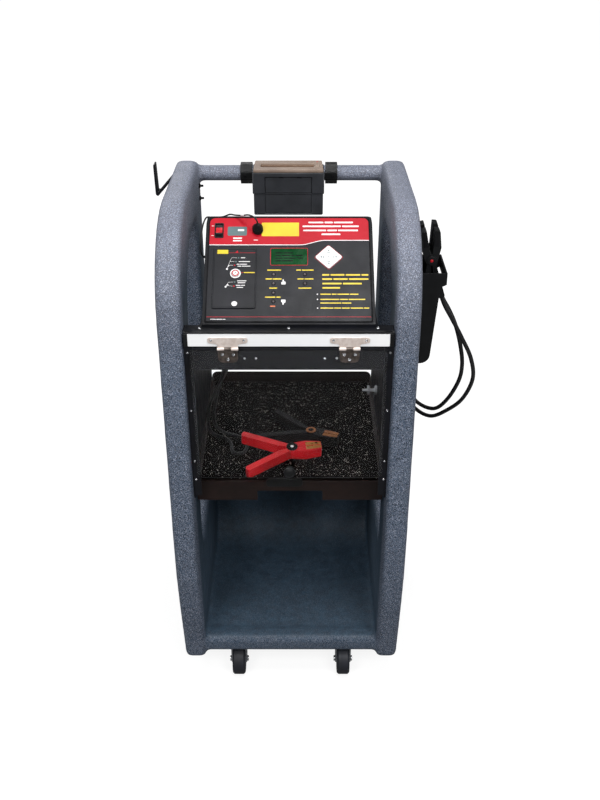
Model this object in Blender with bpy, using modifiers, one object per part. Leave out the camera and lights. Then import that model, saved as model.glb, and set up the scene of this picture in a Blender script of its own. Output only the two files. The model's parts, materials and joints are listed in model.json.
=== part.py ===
"""Car battery charger: a test and charge console on a moulded workshop cart.

Metres. +Z is up, +Y points to the rear, X = 0 is midway between the cheeks and Z = 0 is the floor.
"""

import math

import bmesh
import bpy
from mathutils import Matrix, Vector

# Fits
GAP = 0.0003                    # between pieces that touch
RUNNING_GAP = 0.0005            # round a shaft or beside a moving piece

# Cart moulding
CART_WIDTH = 0.500              # over the outer faces of the cheeks
CHEEK_THICKNESS = 0.049
CHEEK_ROUNDING = 0.012
CHEEK_TOP_Z = 1.150
CHEEK_FOOT_Z = 0.065
CHEEK_REAR_Y = 0.245
CHEEK_TOE_Y = -0.208            # front of the cheek at the foot
CHEEK_BELLY_Y = -0.258          # furthest forward
CHEEK_BELLY_Z = 0.350
CHEEK_BROW_Y = -0.224           # where the front line would meet the top
CHEEK_BROW_RADIUS = 0.190
WINDOW_FRONT_Y = -0.115
WINDOW_REAR_Y = 0.150
WINDOW_SILL_Z = 0.340
WINDOW_TOP_MARGIN = 0.105
PAN_FRONT_Y = -0.205
PAN_REAR_Y = 0.225
PAN_UNDERSIDE_Z = 0.087
PAN_FLOOR_THICKNESS = 0.040
PAN_WALL_THICKNESS = 0.025
PAN_LIP_HEIGHT = 0.045
PAN_SCOOP_TOP_Z = 0.420
PAN_SCOOP_RADIUS = 0.090
HANDLE_RADIUS = 0.017
HANDLE_SETBACK = 0.0195         # bar axis in front of the cheeks' rear edge
HANDLE_DROP = 0.040             # bar axis below the cheeks' top

# Running gear
CASTER_AXIS_Y = -0.152
CASTER_TRAIL = 0.026
CASTER_WHEEL_RADIUS = 0.0375
CASTER_WHEEL_WIDTH = 0.030
CASTER_PLATE_SIZE = 0.056
CASTER_PLATE_THICKNESS = 0.004
CASTER_FORK_THICKNESS = 0.003
CASTER_HEAD_RADIUS = 0.020
CASTER_AXLE_RADIUS = 0.004
KINGPIN_RADIUS = 0.005
REAR_WHEEL_RADIUS = 0.075
REAR_WHEEL_WIDTH = 0.040
REAR_WHEEL_CLEARANCE = 0.005    # wheel hub to cheek
AXLE_RADIUS = 0.008
AXLE_Y = 0.180
AXLE_CAP_RADIUS = 0.014
AXLE_CAP_LENGTH = 0.005
AXLE_BOSS_DEPTH = 0.030         # cheek below the axle's centre

# Battery bay: shelf, trim, side panels, tray and mat
SHEET = 0.002
BAY_FRONT_Y = -0.2255
SHELF_TOP_Z = 0.947
SHELF_REAR_Y = 0.098
APRON_BOTTOM_Z = 0.8640
SHELF_LEDGE_DEPTH = 0.0265      # full-width strip in front of the console
SHELF_BODY_MARGIN = 0.031       # shelf's edges to the cheeks, behind that strip
SIDE_PANEL_THICKNESS = 0.003
SIDE_FLANGE_WIDTH = 0.017
SIDE_STEP_Z = 0.690
SIDE_TOP_FALL = 0.152           # side panel's top edge, from the ledge to the rear
TRIM_MARGIN = 0.009             # trim's ends to the cheeks
TRIM_HEIGHT = 0.0275
TRIM_DEPTH = 0.0065
TRAY_FLOOR_Z = 0.577
TRAY_FRONT_Y = -0.1965
TRAY_REAR_Y = 0.2315
TRAY_FLANGE_HEIGHT = 0.048
TRAY_LIP_HEIGHT = 0.0275
TRAY_NOTCH_WIDTH = 0.139
TRAY_NOTCH_HEIGHT = 0.024
MAT_THICKNESS = 0.003
MAT_MARGIN = 0.006

# Bay door and its hinges
DOOR_MARGIN = 0.011             # door's edges to the cheeks
DOOR_THICKNESS = 0.004
DOOR_BOTTOM_Z = 0.612
DOOR_SETBACK = 0.0035           # door's inner face in front of the apron
HINGE_SPACING = 0.232
HINGE_OFFSET_X = 0.0
HINGE_SHEET = 0.0015
HINGE_WIDTH = 0.040
HINGE_LEAF_HEIGHT = 0.026
FIXED_LEAF_WIDTH = 0.076
KNUCKLE_RADIUS = 0.0032
HINGE_PIN_RADIUS = 0.0012
KNOB_RADIUS = 0.012
KNOB_LENGTH = 0.017
KNOB_RISE = 0.022               # above the door's lower edge

# Charger console
CASE_WIDTH = 0.332
CASE_WALL = 0.0025
CASE_CORNER_RADIUS = 0.011
CASE_FRONT_Y = -0.2050
CASE_NOSE = 0.004               # upright strip below the sloping face
CASE_REAR_Y = 0.0860
CASE_TOP_FALL = math.radians(30)    # the top falls to the rear from the brow
FACE_SLOPE = math.radians(35.4)
FACE_LENGTH = 0.2455
FACE_WIDTH = 0.322
OVERLAY_THICKNESS = 0.0015
FACE_CORNER_RADIUS = 0.010
LCD_SIZE = (0.071, 0.037)
LCD_PLACE = (0.000, 0.1495)     # across the face, and up its slope from the front edge
ROCKER_PLACE = (-0.1395, FACE_LENGTH - 0.0355)
ROCKER_WIDTH = 0.0130
ROCKER_RADIUS = 0.0145
ROCKER_DEPTH = 0.0040           # pivot below the case's face
ROCKER_TILT = math.radians(8)
KEYPAD_PLACE = (0.0778, 0.1483)
KEYPAD_HALF = 0.0272
KEYPAD_THICKNESS = 0.0022
TESTER_SIZE = (0.085, 0.134)
TESTER_PLACE = (-0.1062, 0.0998)
TESTER_THICKNESS = 0.0025
RING_BUTTON_PLACE = (-0.1045, 0.1098)
RING_BUTTON_RADIUS = 0.0075
RING_BUTTON_TRAVEL = 0.0012
KEYPAD_TRAVEL = 0.0008
PLUG_PLACE = (-0.0625, FACE_LENGTH - 0.0354)
PLUG_RADIUS = 0.0100
PLUG_LENGTH = 0.022
PLUG_PIN_RADIUS = 0.0050
PLUG_PIN_LENGTH = 0.008
COVER_THICKNESS = 0.002
INLET_SIZE = (0.048, 0.028)
INLET_PLACE = (-0.110, 0.985)   # across, and height above the floor
FAN_SIZE = 0.080
FAN_DEPTH = 0.025
FAN_PLACE = (0.020, 0.9955)
FAN_BORE_RADIUS = 0.037
FAN_HUB_RADIUS = 0.014
FAN_BLADE_COUNT = 5
TRANSFORMER_SIZE = (0.110, 0.085, 0.062)
TRANSFORMER_PLACE = (-0.075, 0.000)
BOARD_SIZE = (0.130, 0.110, 0.0016)
BOARD_PLACE = (0.078, -0.045)
BOARD_STANDOFF = 0.006
BOARD_FOOT_MARGIN = 0.008
BOARD_CHIP_SIZE = (0.022, 0.016)
BOARD_CHIPS = ((-0.030, 0.020, 0.010), (0.015, 0.022, 0.014), (0.010, -0.015, 0.006))     # across, deep, high

# Receipt printer on the handle bar
PRINTER_X = -0.003
PRINTER_WIDTH = 0.146
PRINTER_BAND = 0.002            # upper half stands out by this much at the front and sides
PRINTER_FRONT_Y = 0.102
PRINTER_DEPTH = 0.070
PRINTER_BOTTOM_Z = 1.056
PRINTER_BAND_Z = 1.103
PRINTER_TOP_Z = 1.1480
PRINTER_LID_THICKNESS = 0.006
PAPER_SLOT = (0.110, 0.013)
FEED_BUTTON = (0.009, 0.016)
FEED_BUTTON_TRAVEL = 0.0012
BAR_CLAMP_RADIUS = 0.0235
BAR_CLAMP_LENGTH = 0.026
CRADLE_THICKNESS = 0.005
CRADLE_STRIP_SPAN = (-0.006, 0.009)         # below and above the bar's axis
CRADLE_BLOCK_SPAN = (-0.035, 0.015)
CRADLE_BLOCK_MARGIN = 0.015

# Cable hook and holster on the cheeks' outer faces
HOOK_STRAP = (0.004, 0.025)     # thickness and width
HOOK_Y = 0.2025
HOOK_TOP_Z = 1.119
HOOK_DROP = 0.051               # lowest point below the strap's top
HOOK_REACH = 0.045
HOOK_PRONG_HEIGHT = 0.070
HOOK_LEG_HEIGHT = 0.070
HOLSTER_Y = -0.050
HOLSTER_WIDTH = 0.100
HOLSTER_TOP_Z = 1.010
HOLSTER_BOTTOM_Z = 0.809
HOLSTER_RIM_HEIGHT = 0.024
HOLSTER_RIM_DEPTH = 0.062
HOLSTER_NECK_DEPTH = 0.050
HOLSTER_FOOT_DEPTH = 0.038
HOLSTER_WALL = 0.0035
HOLSTER_SLOT_HEIGHT = 0.105
HOLSTER_PLATE_REACH = 0.055     # back plate beyond the pocket, towards the front

# Spring clamps: the two on the tray, then the two in the holster
CLAMP_THICKNESS = 0.024
CLAMP_PIVOT_RADIUS = 0.0115
CLAMP_PIN_RADIUS = 0.0030
CLAMP_HANDLE_WIDTH = 0.014
CLAMP_DISC_RISE = 0.0008        # pivot discs beyond the arms' flat sides
# spread is each handle's angle from the middle, squeeze how far the clamp is held open, limit its full opening
TEST_CLAMP = {"handle": 0.118, "jaw": 0.064, "spread": math.radians(28.5), "squeeze": 0.0,
              "limit": math.radians(25)}
CHARGE_CLAMP = {"handle": 0.085, "jaw": 0.062, "spread": math.radians(20), "squeeze": math.radians(14),
                "limit": math.radians(20)}
RED_TEST_CLAMP_PLACE = (0.004, -0.119)
RED_TEST_CLAMP_TURN = math.radians(8)
RED_TEST_CLAMP_ROLL = math.radians(9)       # its far handle is up, clear of the other clamp's lead
BLACK_TEST_CLAMP_PLACE = (0.046, -0.040)
BLACK_TEST_CLAMP_TURN = math.radians(-19)
CHARGE_CLAMP_RISE = 0.020       # pivot above the holster's rim
CHARGE_CLAMP_LEAN = math.radians(5)

# Leads
TEST_LEAD_RADIUS = 0.0035
CHARGE_LEAD_RADIUS = 0.0045
DATA_LEAD_RADIUS = 0.0016

# Worked out from the sizes above
HALF_WIDTH = CART_WIDTH / 2
INNER_X = HALF_WIDTH - CHEEK_THICKNESS
CASTER_SPACING = CART_WIDTH / 2
AXLE_Z = REAR_WHEEL_RADIUS
HANDLE_Y = CHEEK_REAR_Y - HANDLE_SETBACK
HANDLE_Z = CHEEK_TOP_Z - HANDLE_DROP
PANEL_OUTER_X = INNER_X - GAP
PANEL_INNER_X = PANEL_OUTER_X - SIDE_PANEL_THICKNESS
SHELF_HALF = PANEL_INNER_X - GAP
SHELF_BODY_HALF = INNER_X - SHELF_BODY_MARGIN
SHELF_LEDGE_Y = BAY_FRONT_Y + SHELF_LEDGE_DEPTH
TRIM_WIDTH = 2 * (INNER_X - TRIM_MARGIN)
DOOR_WIDTH = 2 * (INNER_X - DOOR_MARGIN)
KNOB_HEIGHT_Z = DOOR_BOTTOM_Z + KNOB_RISE
TRIM_FRONT_Y = BAY_FRONT_Y - GAP - TRIM_DEPTH
TRIM_BOTTOM_Z = SHELF_TOP_Z - 0.002 - TRIM_HEIGHT
DOOR_INNER_Y = BAY_FRONT_Y - DOOR_SETBACK
DOOR_OUTER_Y = DOOR_INNER_Y - DOOR_THICKNESS
HINGE_AXIS_Y = min(TRIM_FRONT_Y, DOOR_OUTER_Y) - 0.0016
HINGE_AXIS_Z = TRIM_BOTTOM_Z - KNUCKLE_RADIUS - RUNNING_GAP
CASE_BOTTOM_Z = SHELF_TOP_Z + GAP
FACE_BOTTOM = Vector((0, CASE_FRONT_Y, CASE_BOTTOM_Z + CASE_NOSE))
FACE_FRAME = Matrix.Translation(FACE_BOTTOM) @ Matrix.Rotation(FACE_SLOPE, 4, "X")
CASE_TOP_Z = FACE_BOTTOM.z + FACE_LENGTH * math.sin(FACE_SLOPE)
CASE_BROW_Y = CASE_FRONT_Y + FACE_LENGTH * math.cos(FACE_SLOPE)
CASE_REAR_TOP_Z = CASE_TOP_Z - (CASE_REAR_Y - CASE_BROW_Y) * math.tan(CASE_TOP_FALL)
OVERLAY_TOP = GAP + OVERLAY_THICKNESS
COVER_OUTER_Y = CASE_REAR_Y + GAP + COVER_THICKNESS
MAT_TOP_Z = TRAY_FLOOR_Z + GAP + MAT_THICKNESS

AXIS_FRAMES = {
    "X": Matrix(((0, 0, 1, 0), (1, 0, 0, 0), (0, 1, 0, 0), (0, 0, 0, 1))),
    "Y": Matrix(((1, 0, 0, 0), (0, 0, -1, 0), (0, 1, 0, 0), (0, 0, 0, 1))),
    "Z": Matrix.Identity(4),
}

# Colour, roughness and metallic value of each finish
FINISHES = {
    "cart_plastic": ((0.30, 0.33, 0.40), 0.75, 0.0),
    "black_plastic": ((0.03, 0.03, 0.035), 0.5, 0.0),
    "black_sheet": ((0.02, 0.02, 0.022), 0.45, 0.3),
    "brown_black_sheet": ((0.035, 0.018, 0.015), 0.45, 0.3),
    "white_trim": ((0.85, 0.85, 0.85), 0.4, 0.0),
    "bright_steel": ((0.75, 0.74, 0.72), 0.25, 1.0),
    "grey_steel": ((0.45, 0.46, 0.48), 0.35, 1.0),
    "wheel_rubber": ((0.015, 0.018, 0.03), 0.7, 0.0),
    "mat_rubber": ((0.02, 0.018, 0.018), 0.85, 0.0),
    "clear_plastic": ((0.80, 0.85, 0.88), 0.1, 0.0),
    "panel_print": ((0.05, 0.05, 0.06), 0.45, 0.0),
    "display_green": ((0.01, 0.11, 0.03), 0.25, 0.0),
    "key_white": ((0.80, 0.80, 0.80), 0.4, 0.0),
    "red_plastic": ((0.72, 0.02, 0.04), 0.4, 0.0),
    "tan_plastic": ((0.58, 0.41, 0.29), 0.5, 0.0),
    "winding_copper": ((0.60, 0.30, 0.12), 0.4, 0.8),
    "board_green": ((0.02, 0.18, 0.06), 0.5, 0.0),
    "lead_rubber": ((0.02, 0.02, 0.02), 0.5, 0.0),
}


# ---- Modelling helpers ----

def clear_scene():
    for item in list(bpy.data.objects):
        bpy.data.objects.remove(item, do_unlink=True)


def collection(name):
    found = bpy.data.collections.get(name) or bpy.data.collections.new(name)
    if found.name not in bpy.context.scene.collection.children:
        bpy.context.scene.collection.children.link(found)
    return found


def finish_material(finish):
    material = bpy.data.materials.get(finish)
    if material is None:
        colour, roughness, metallic = FINISHES[finish]
        material = bpy.data.materials.new(finish)
        material.use_nodes = True
        shader = material.node_tree.nodes["Principled BSDF"]
        shader.inputs["Base Color"].default_value = (*colour, 1)
        shader.inputs["Roughness"].default_value = roughness
        shader.inputs["Metallic"].default_value = metallic
        material.diffuse_color = (*colour, 1)
    return material


def add_object(name, data, finish, frame=None):
    item = bpy.data.objects.new(name, data)
    collection("car_battery_charger").objects.link(item)
    item.matrix_world = frame or Matrix.Identity(4)
    data.materials.clear()
    data.materials.append(finish_material(finish))
    return item


def add_bevel(item, width, segments=2):
    bevel = item.modifiers.new("rounded_edges", "BEVEL")
    bevel.width = width
    bevel.segments = segments
    bevel.limit_method = "ANGLE"
    bevel.angle_limit = math.radians(40)


def box(name, low, high, finish, rounding=0.0, segments=2, frame=None):
    """A block between two corners, with rounded edges if asked."""
    form = bmesh.new()
    bmesh.ops.create_cube(form, size=1)
    size = [top - bottom for bottom, top in zip(low, high)]
    centre = [(top + bottom) / 2 for bottom, top in zip(low, high)]
    bmesh.ops.scale(form, vec=size, verts=form.verts)
    bmesh.ops.translate(form, vec=centre, verts=form.verts)
    mesh = bpy.data.meshes.new(name)
    form.to_mesh(mesh)
    form.free()
    item = add_object(name, mesh, finish, frame)
    if rounding:
        add_bevel(item, rounding, segments)
    return item


def cylinder(name, start, axis, length, radius, finish, sides=24, frame=None):
    """A round bar that starts at a point and runs along +axis of the frame."""
    form = bmesh.new()
    bmesh.ops.create_cone(form, cap_ends=True, segments=sides, radius1=radius, radius2=radius, depth=length)
    bmesh.ops.translate(form, vec=(0, 0, length / 2), verts=form.verts)
    turn = {"X": Matrix.Rotation(math.pi / 2, 4, "Y"), "Y": Matrix.Rotation(-math.pi / 2, 4, "X"),
            "Z": Matrix.Identity(4)}[axis]
    bmesh.ops.transform(form, matrix=Matrix.Translation(start) @ turn, verts=form.verts)
    mesh = bpy.data.meshes.new(name)
    form.to_mesh(mesh)
    form.free()
    item = add_object(name, mesh, finish, frame)
    item.data.shade_smooth()
    item.data.set_sharp_from_angle(angle=math.radians(40))
    return item


def rounded_outline(corners, step_deg=12):
    """Points along a closed polygon whose corners (x, y, radius) are rounded with arcs."""
    points = []
    count = len(corners)
    for index, (x, y, radius) in enumerate(corners):
        here = Vector((x, y))
        before = Vector(corners[index - 1][:2]) - here
        after = Vector(corners[(index + 1) % count][:2]) - here
        turn = math.pi - before.angle(after)
        reach = min(radius * math.tan(turn / 2), 0.49 * before.length, 0.49 * after.length)
        if radius <= 0 or turn < 1e-4:
            points.append((x, y))
            continue
        radius = reach / math.tan(turn / 2)
        start = here + before.normalized() * reach
        bisector = (before.normalized() + after.normalized()).normalized()
        centre = here + bisector * (radius / math.cos(turn / 2))
        arm = start - centre
        side = 1 if before.x * after.y - before.y * after.x < 0 else -1
        steps = max(2, math.ceil(math.degrees(turn) / step_deg))
        for step in range(steps + 1):
            spun = arm.copy()
            spun.rotate(Matrix.Rotation(side * turn * step / steps, 2))
            points.append(tuple(centre + spun))
    return points


def rectangle(low_x, low_y, high_x, high_y, radius=0.0):
    return rounded_outline([(low_x, low_y, radius), (high_x, low_y, radius),
                            (high_x, high_y, radius), (low_x, high_y, radius)], 15)


def circle(x, y, radius, sides=24):
    return [(x + radius * math.cos(2 * math.pi * i / sides), y + radius * math.sin(2 * math.pi * i / sides))
            for i in range(sides)]


def wound(outline, clockwise):
    area = sum(a[0] * b[1] - b[0] * a[1] for a, b in zip(outline, outline[1:] + outline[:1]))
    return list(reversed(outline)) if (area < 0) != clockwise else outline


def as_mesh(guide, finish):
    """Turn a curve object into a welded mesh object with its name and place."""
    name = guide.name
    frame = guide.matrix_world.copy()
    bpy.context.view_layer.update()
    evaluated = guide.evaluated_get(bpy.context.evaluated_depsgraph_get())
    mesh = bpy.data.meshes.new_from_object(evaluated)
    bpy.data.objects.remove(guide, do_unlink=True)
    form = bmesh.new()
    form.from_mesh(mesh)
    bmesh.ops.remove_doubles(form, verts=form.verts, dist=0.00002)
    bmesh.ops.recalc_face_normals(form, faces=form.faces)
    form.to_mesh(mesh)
    form.free()
    item = add_object(name, mesh, finish, frame)
    item.data.shade_smooth()
    item.data.set_sharp_from_angle(angle=math.radians(40))
    return item


def slab(name, outlines, frame, low, high, finish, rounding=0.0, steps=1):
    """A flat piece: the first outline is its edge, the others are holes, and it runs low to high."""
    frame = AXIS_FRAMES[frame] if isinstance(frame, str) else frame
    curve = bpy.data.curves.new(name, "CURVE")
    curve.dimensions = "2D"
    curve.fill_mode = "BOTH"
    for index, outline in enumerate(outlines):
        outline = wound(outline, clockwise=index > 0)
        spline = curve.splines.new("POLY")
        spline.points.add(len(outline) - 1)
        spline.use_cyclic_u = True
        for point, (x, y) in zip(spline.points, outline):
            point.co = (x, y, 0, 1)
    curve.extrude = (high - low) / 2 - rounding
    curve.bevel_depth = rounding
    curve.bevel_resolution = steps
    curve.offset = -rounding
    guide = bpy.data.objects.new(name, curve)
    collection("cutters").objects.link(guide)
    middle = (low + high) / 2 * (-1 if frame == AXIS_FRAMES["Y"] else 1)
    guide.matrix_world = frame @ Matrix.Translation((0, 0, middle))
    return as_mesh(guide, finish)


def turned(name, profile, frame, finish, steps=32, closed=False):
    """A turned piece: the profile (radius, height) runs down its outer side and is spun about z."""
    mesh = bpy.data.meshes.new(name)
    count = len(profile)
    edges = [(i, i + 1) for i in range(count - 1)] + ([(count - 1, 0)] if closed else [])
    mesh.from_pydata([(radius, 0, height) for radius, height in profile], edges, [])
    item = add_object(name, mesh, finish, frame)
    screw = item.modifiers.new("spin", "SCREW")
    screw.steps = steps
    screw.render_steps = steps
    screw.use_merge_vertices = True
    screw.merge_threshold = 0.00001
    screw.use_smooth_shade = False
    return item


def smooth_route(points, step):
    """Points about one step apart along a smooth curve through the given points."""
    knots = [Vector(p) for p in points]
    knots = [2 * knots[0] - knots[1]] + knots + [2 * knots[-1] - knots[-2]]
    dense = []
    for a, b, c, d in zip(knots, knots[1:], knots[2:], knots[3:]):
        for i in range(20):
            t = i / 20
            dense.append(0.5 * (2 * b + (c - a) * t + (2 * a - 5 * b + 4 * c - d) * t ** 2
                                + (3 * b - a - 3 * c + d) * t ** 3))
    dense.append(knots[-2])
    length = sum((q - p).length for p, q in zip(dense, dense[1:]))
    pieces = max(4, round(length / step))
    route, walked, target = [dense[0]], 0.0, length / pieces
    for p, q in zip(dense, dense[1:]):
        span = (q - p).length
        while walked + span >= target - 1e-9 and len(route) < pieces:
            route.append(p.lerp(q, (target - walked) / span))
            target += length / pieces
        walked += span
    route.append(dense[-1])
    # A short straight bit at each end squares the ends to the first and last stretch of the route
    stub = 0.1 * step
    first = route[0].lerp(knots[2], stub / (knots[2] - route[0]).length)
    last = route[-1].lerp(knots[-3], stub / (knots[-3] - route[-1]).length)
    return [route[0], first] + route[1:-1] + [last, route[-1]]


def lead(name, points, radius, finish="lead_rubber"):
    """A flexible lead along its route."""
    curve = bpy.data.curves.new(name, "CURVE")
    curve.dimensions = "3D"
    curve.bevel_depth = radius
    curve.bevel_resolution = 2
    curve.use_fill_caps = True
    route = smooth_route(points, 5 * radius)
    spline = curve.splines.new("POLY")
    spline.points.add(len(route) - 1)
    for point, place in zip(spline.points, route):
        point.co = (*place, 1)
    return add_object(name, curve, finish)


def combine(item, operation, *others):
    """Cut the other pieces from this one, or join them to it."""
    for other in others:
        for home in list(other.users_collection):
            home.objects.unlink(other)
        collection("cutters").objects.link(other)
        other.hide_render = True
        other.display_type = "WIRE"
        boolean = item.modifiers.new(operation.lower(), "BOOLEAN")
        boolean.operation = operation
        boolean.solver = "EXACT"
        boolean.object = other
    return item


def cut(item, *others):
    return combine(item, "DIFFERENCE", *others)


def join(item, *others):
    return combine(item, "UNION", *others)


def set_pivot(item, point):
    """Put a mesh object's origin on its joint's axis without moving its shape."""
    point = Vector(point)
    item.data.transform(Matrix.Translation(-point) @ item.matrix_world)
    item.matrix_world = Matrix.Translation(point)
    return item


# ---- Cart moulding ----

def cheek(name, side):
    boss_z = AXLE_Z - AXLE_BOSS_DEPTH
    edge = rounded_outline([
        (CHEEK_TOE_Y, CHEEK_FOOT_Z, 0.026),
        (CHEEK_BELLY_Y, CHEEK_BELLY_Z, 0.90),
        (CHEEK_BROW_Y, CHEEK_TOP_Z, CHEEK_BROW_RADIUS),
        (CHEEK_REAR_Y, CHEEK_TOP_Z - 0.010, 0.036),
        (CHEEK_REAR_Y, boss_z, 0.040),
        (AXLE_Y - 0.050, boss_z, 0.026),
        (AXLE_Y - 0.080, CHEEK_FOOT_Z, 0.026),
    ], 10)
    window_top = CHEEK_TOP_Z - WINDOW_TOP_MARGIN
    window = rounded_outline([
        (WINDOW_FRONT_Y, WINDOW_SILL_Z, 0.045),
        (WINDOW_FRONT_Y, window_top, 0.160),
        (WINDOW_REAR_Y, window_top, 0.060),
        (WINDOW_REAR_Y, WINDOW_SILL_Z, 0.045),
    ])
    low, high = sorted((side * INNER_X, side * HALF_WIDTH))
    item = slab(name, [edge, window], "X", low, high, "cart_plastic", CHEEK_ROUNDING, 2)
    bore = cylinder(name + "_bore", (-HALF_WIDTH, AXLE_Y, AXLE_Z), "X", CART_WIDTH,
                    AXLE_RADIUS + RUNNING_GAP, "cart_plastic")
    return cut(item, bore)


def base_pan():
    floor_z = PAN_UNDERSIDE_Z + PAN_FLOOR_THICKNESS
    lip_z = PAN_UNDERSIDE_Z + PAN_LIP_HEIGHT
    inner_y = PAN_REAR_Y - PAN_WALL_THICKNESS
    profile = rounded_outline([
        (PAN_FRONT_Y, PAN_UNDERSIDE_Z, 0.010),
        (PAN_REAR_Y, PAN_UNDERSIDE_Z, 0.065),
        (PAN_REAR_Y, PAN_SCOOP_TOP_Z, 0.010),
        (inner_y, PAN_SCOOP_TOP_Z, 0.010),
        (inner_y, floor_z, PAN_SCOOP_RADIUS),
        (PAN_FRONT_Y + 0.045, floor_z, 0.020),
        (PAN_FRONT_Y + 0.028, lip_z, 0.012),
        (PAN_FRONT_Y, lip_z, 0.014),
    ])
    half = INNER_X - GAP
    return slab("base_pan", [profile], "X", -half, half, "cart_plastic")


def handle_bar():
    half = INNER_X - GAP
    return cylinder("handle_bar", (-half, HANDLE_Y, HANDLE_Z), "X", 2 * half, HANDLE_RADIUS,
                    "cart_plastic", 28)


# ---- Running gear ----

def caster(suffix, x):
    plate_top = PAN_UNDERSIDE_Z - GAP
    plate_bottom = plate_top - CASTER_PLATE_THICKNESS
    half = CASTER_PLATE_SIZE / 2
    plate = box("caster_plate_" + suffix, (x - half, CASTER_AXIS_Y - half, plate_bottom),
                (x + half, CASTER_AXIS_Y + half, plate_top), "grey_steel", 0.001, 1)
    cut(plate, cylinder("kingpin_hole_" + suffix, (x, CASTER_AXIS_Y, plate_bottom - 0.01), "Z", 0.03,
                        KINGPIN_RADIUS + RUNNING_GAP, "grey_steel"))

    wheel_y = CASTER_AXIS_Y - CASTER_TRAIL
    wheel_z = CASTER_WHEEL_RADIUS
    head_top = plate_bottom - GAP
    head_bottom = 2 * CASTER_WHEEL_RADIUS + 0.0015
    fork = cylinder("caster_fork_" + suffix, (x, CASTER_AXIS_Y, head_bottom), "Z",
                    head_top - head_bottom, CASTER_HEAD_RADIUS, "grey_steel")
    kingpin = cylinder("kingpin_" + suffix, (x, CASTER_AXIS_Y, head_bottom), "Z",
                       plate_top - GAP - head_bottom, KINGPIN_RADIUS, "grey_steel", 20)
    leg_in = CASTER_WHEEL_WIDTH / 2 + RUNNING_GAP
    leg_out = leg_in + CASTER_FORK_THICKNESS
    crown = box("crown_" + suffix, (x - leg_out, wheel_y - 0.010, head_bottom),
                (x + leg_out, CASTER_AXIS_Y + 0.008, head_bottom + 0.0025), "grey_steel")
    legs = []
    for side in (-1, 1):
        low, high = sorted((x + side * leg_in, x + side * leg_out))
        outline = rounded_outline([
            (wheel_y - 0.009, wheel_z - 0.009, 0.008), (wheel_y + 0.009, wheel_z - 0.009, 0.008),
            (CASTER_AXIS_Y + 0.008, head_bottom + 0.002, 0.0), (wheel_y - 0.010, head_bottom + 0.002, 0.0)])
        legs.append(slab("leg_%s_%d" % (suffix, side), [outline], "X", low, high, "grey_steel"))
    axle = cylinder("caster_axle_" + suffix, (x - leg_out - 0.002, wheel_y, wheel_z), "X",
                    2 * leg_out + 0.004, CASTER_AXLE_RADIUS, "grey_steel", 20)
    join(fork, kingpin, crown, *legs, axle)
    set_pivot(fork, (x, CASTER_AXIS_Y, wheel_z))

    radius, half_width = CASTER_WHEEL_RADIUS, CASTER_WHEEL_WIDTH / 2
    bore = CASTER_AXLE_RADIUS + RUNNING_GAP
    profile = [(radius - 0.004, half_width), (radius, half_width - 0.004), (radius, -half_width + 0.004),
               (radius - 0.004, -half_width), (bore, -half_width), (bore, half_width)]
    turned("front_wheel_" + suffix, profile, Matrix.Translation((x, wheel_y, wheel_z)) @ AXIS_FRAMES["X"],
           "wheel_rubber", 40, closed=True)


def rear_axle():
    reach = HALF_WIDTH + REAR_WHEEL_CLEARANCE + REAR_WHEEL_WIDTH + RUNNING_GAP
    tip = reach + AXLE_CAP_LENGTH
    profile = [(0, tip), (AXLE_CAP_RADIUS - 0.002, tip), (AXLE_CAP_RADIUS, tip - 0.002),
               (AXLE_CAP_RADIUS, reach), (AXLE_RADIUS, reach), (AXLE_RADIUS, -reach),
               (AXLE_CAP_RADIUS, -reach), (AXLE_CAP_RADIUS, -tip + 0.002),
               (AXLE_CAP_RADIUS - 0.002, -tip), (0, -tip)]
    turned("rear_axle", profile, Matrix.Translation((0, AXLE_Y, AXLE_Z)) @ AXIS_FRAMES["X"],
           "grey_steel", 24)


def rear_wheel(suffix, side):
    radius, half = REAR_WHEEL_RADIUS, REAR_WHEEL_WIDTH / 2
    bore = AXLE_RADIUS + RUNNING_GAP
    dish = half - 0.009
    profile = [(radius - 0.006, half), (radius, half - 0.008), (radius, -half + 0.008), (radius - 0.006, -half),
               (radius - 0.020, -half), (radius - 0.024, -dish), (0.022, -dish), (0.020, -half), (bore, -half),
               (bore, half), (0.020, half), (0.022, dish), (radius - 0.024, dish), (radius - 0.020, half)]
    x = side * (HALF_WIDTH + REAR_WHEEL_CLEARANCE + half)
    turned("rear_wheel_" + suffix, profile, Matrix.Translation((x, AXLE_Y, AXLE_Z)) @ AXIS_FRAMES["X"],
           "wheel_rubber", 48, closed=True)


# ---- Battery bay ----

def charger_shelf():
    top, under = SHELF_TOP_Z, SHELF_TOP_Z - SHEET
    fold = rounded_outline([
        (BAY_FRONT_Y, APRON_BOTTOM_Z, 0), (BAY_FRONT_Y, top, 0.003), (SHELF_REAR_Y, top, 0.003),
        (SHELF_REAR_Y, top - 0.020, 0), (SHELF_REAR_Y - SHEET, top - 0.020, 0),
        (SHELF_REAR_Y - SHEET, under, 0), (BAY_FRONT_Y + SHEET, under, 0),
        (BAY_FRONT_Y + SHEET, APRON_BOTTOM_Z, 0)], 30)
    flange_clear = SIDE_FLANGE_WIDTH + GAP
    shelf = slab("charger_shelf", [fold], "X", -SHELF_HALF, SHELF_HALF, "black_sheet")
    notches = []
    for side in (-1, 1):
        low, high = sorted((side * (PANEL_OUTER_X - flange_clear), side * (SHELF_HALF + 0.01)))
        notches.append(box("notch_%d" % side, (low, BAY_FRONT_Y - 0.01, APRON_BOTTOM_Z - 0.01),
                           (high, BAY_FRONT_Y + SHEET + GAP, top + 0.01), "black_sheet"))
        low, high = sorted((side * SHELF_BODY_HALF, side * (SHELF_HALF + 0.01)))
        notches.append(box("shelf_side_%d" % side, (low, SHELF_LEDGE_Y, APRON_BOTTOM_Z - 0.01),
                           (high, SHELF_REAR_Y + 0.01, top + 0.01), "black_sheet"))
    cut(shelf, *notches)


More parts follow.
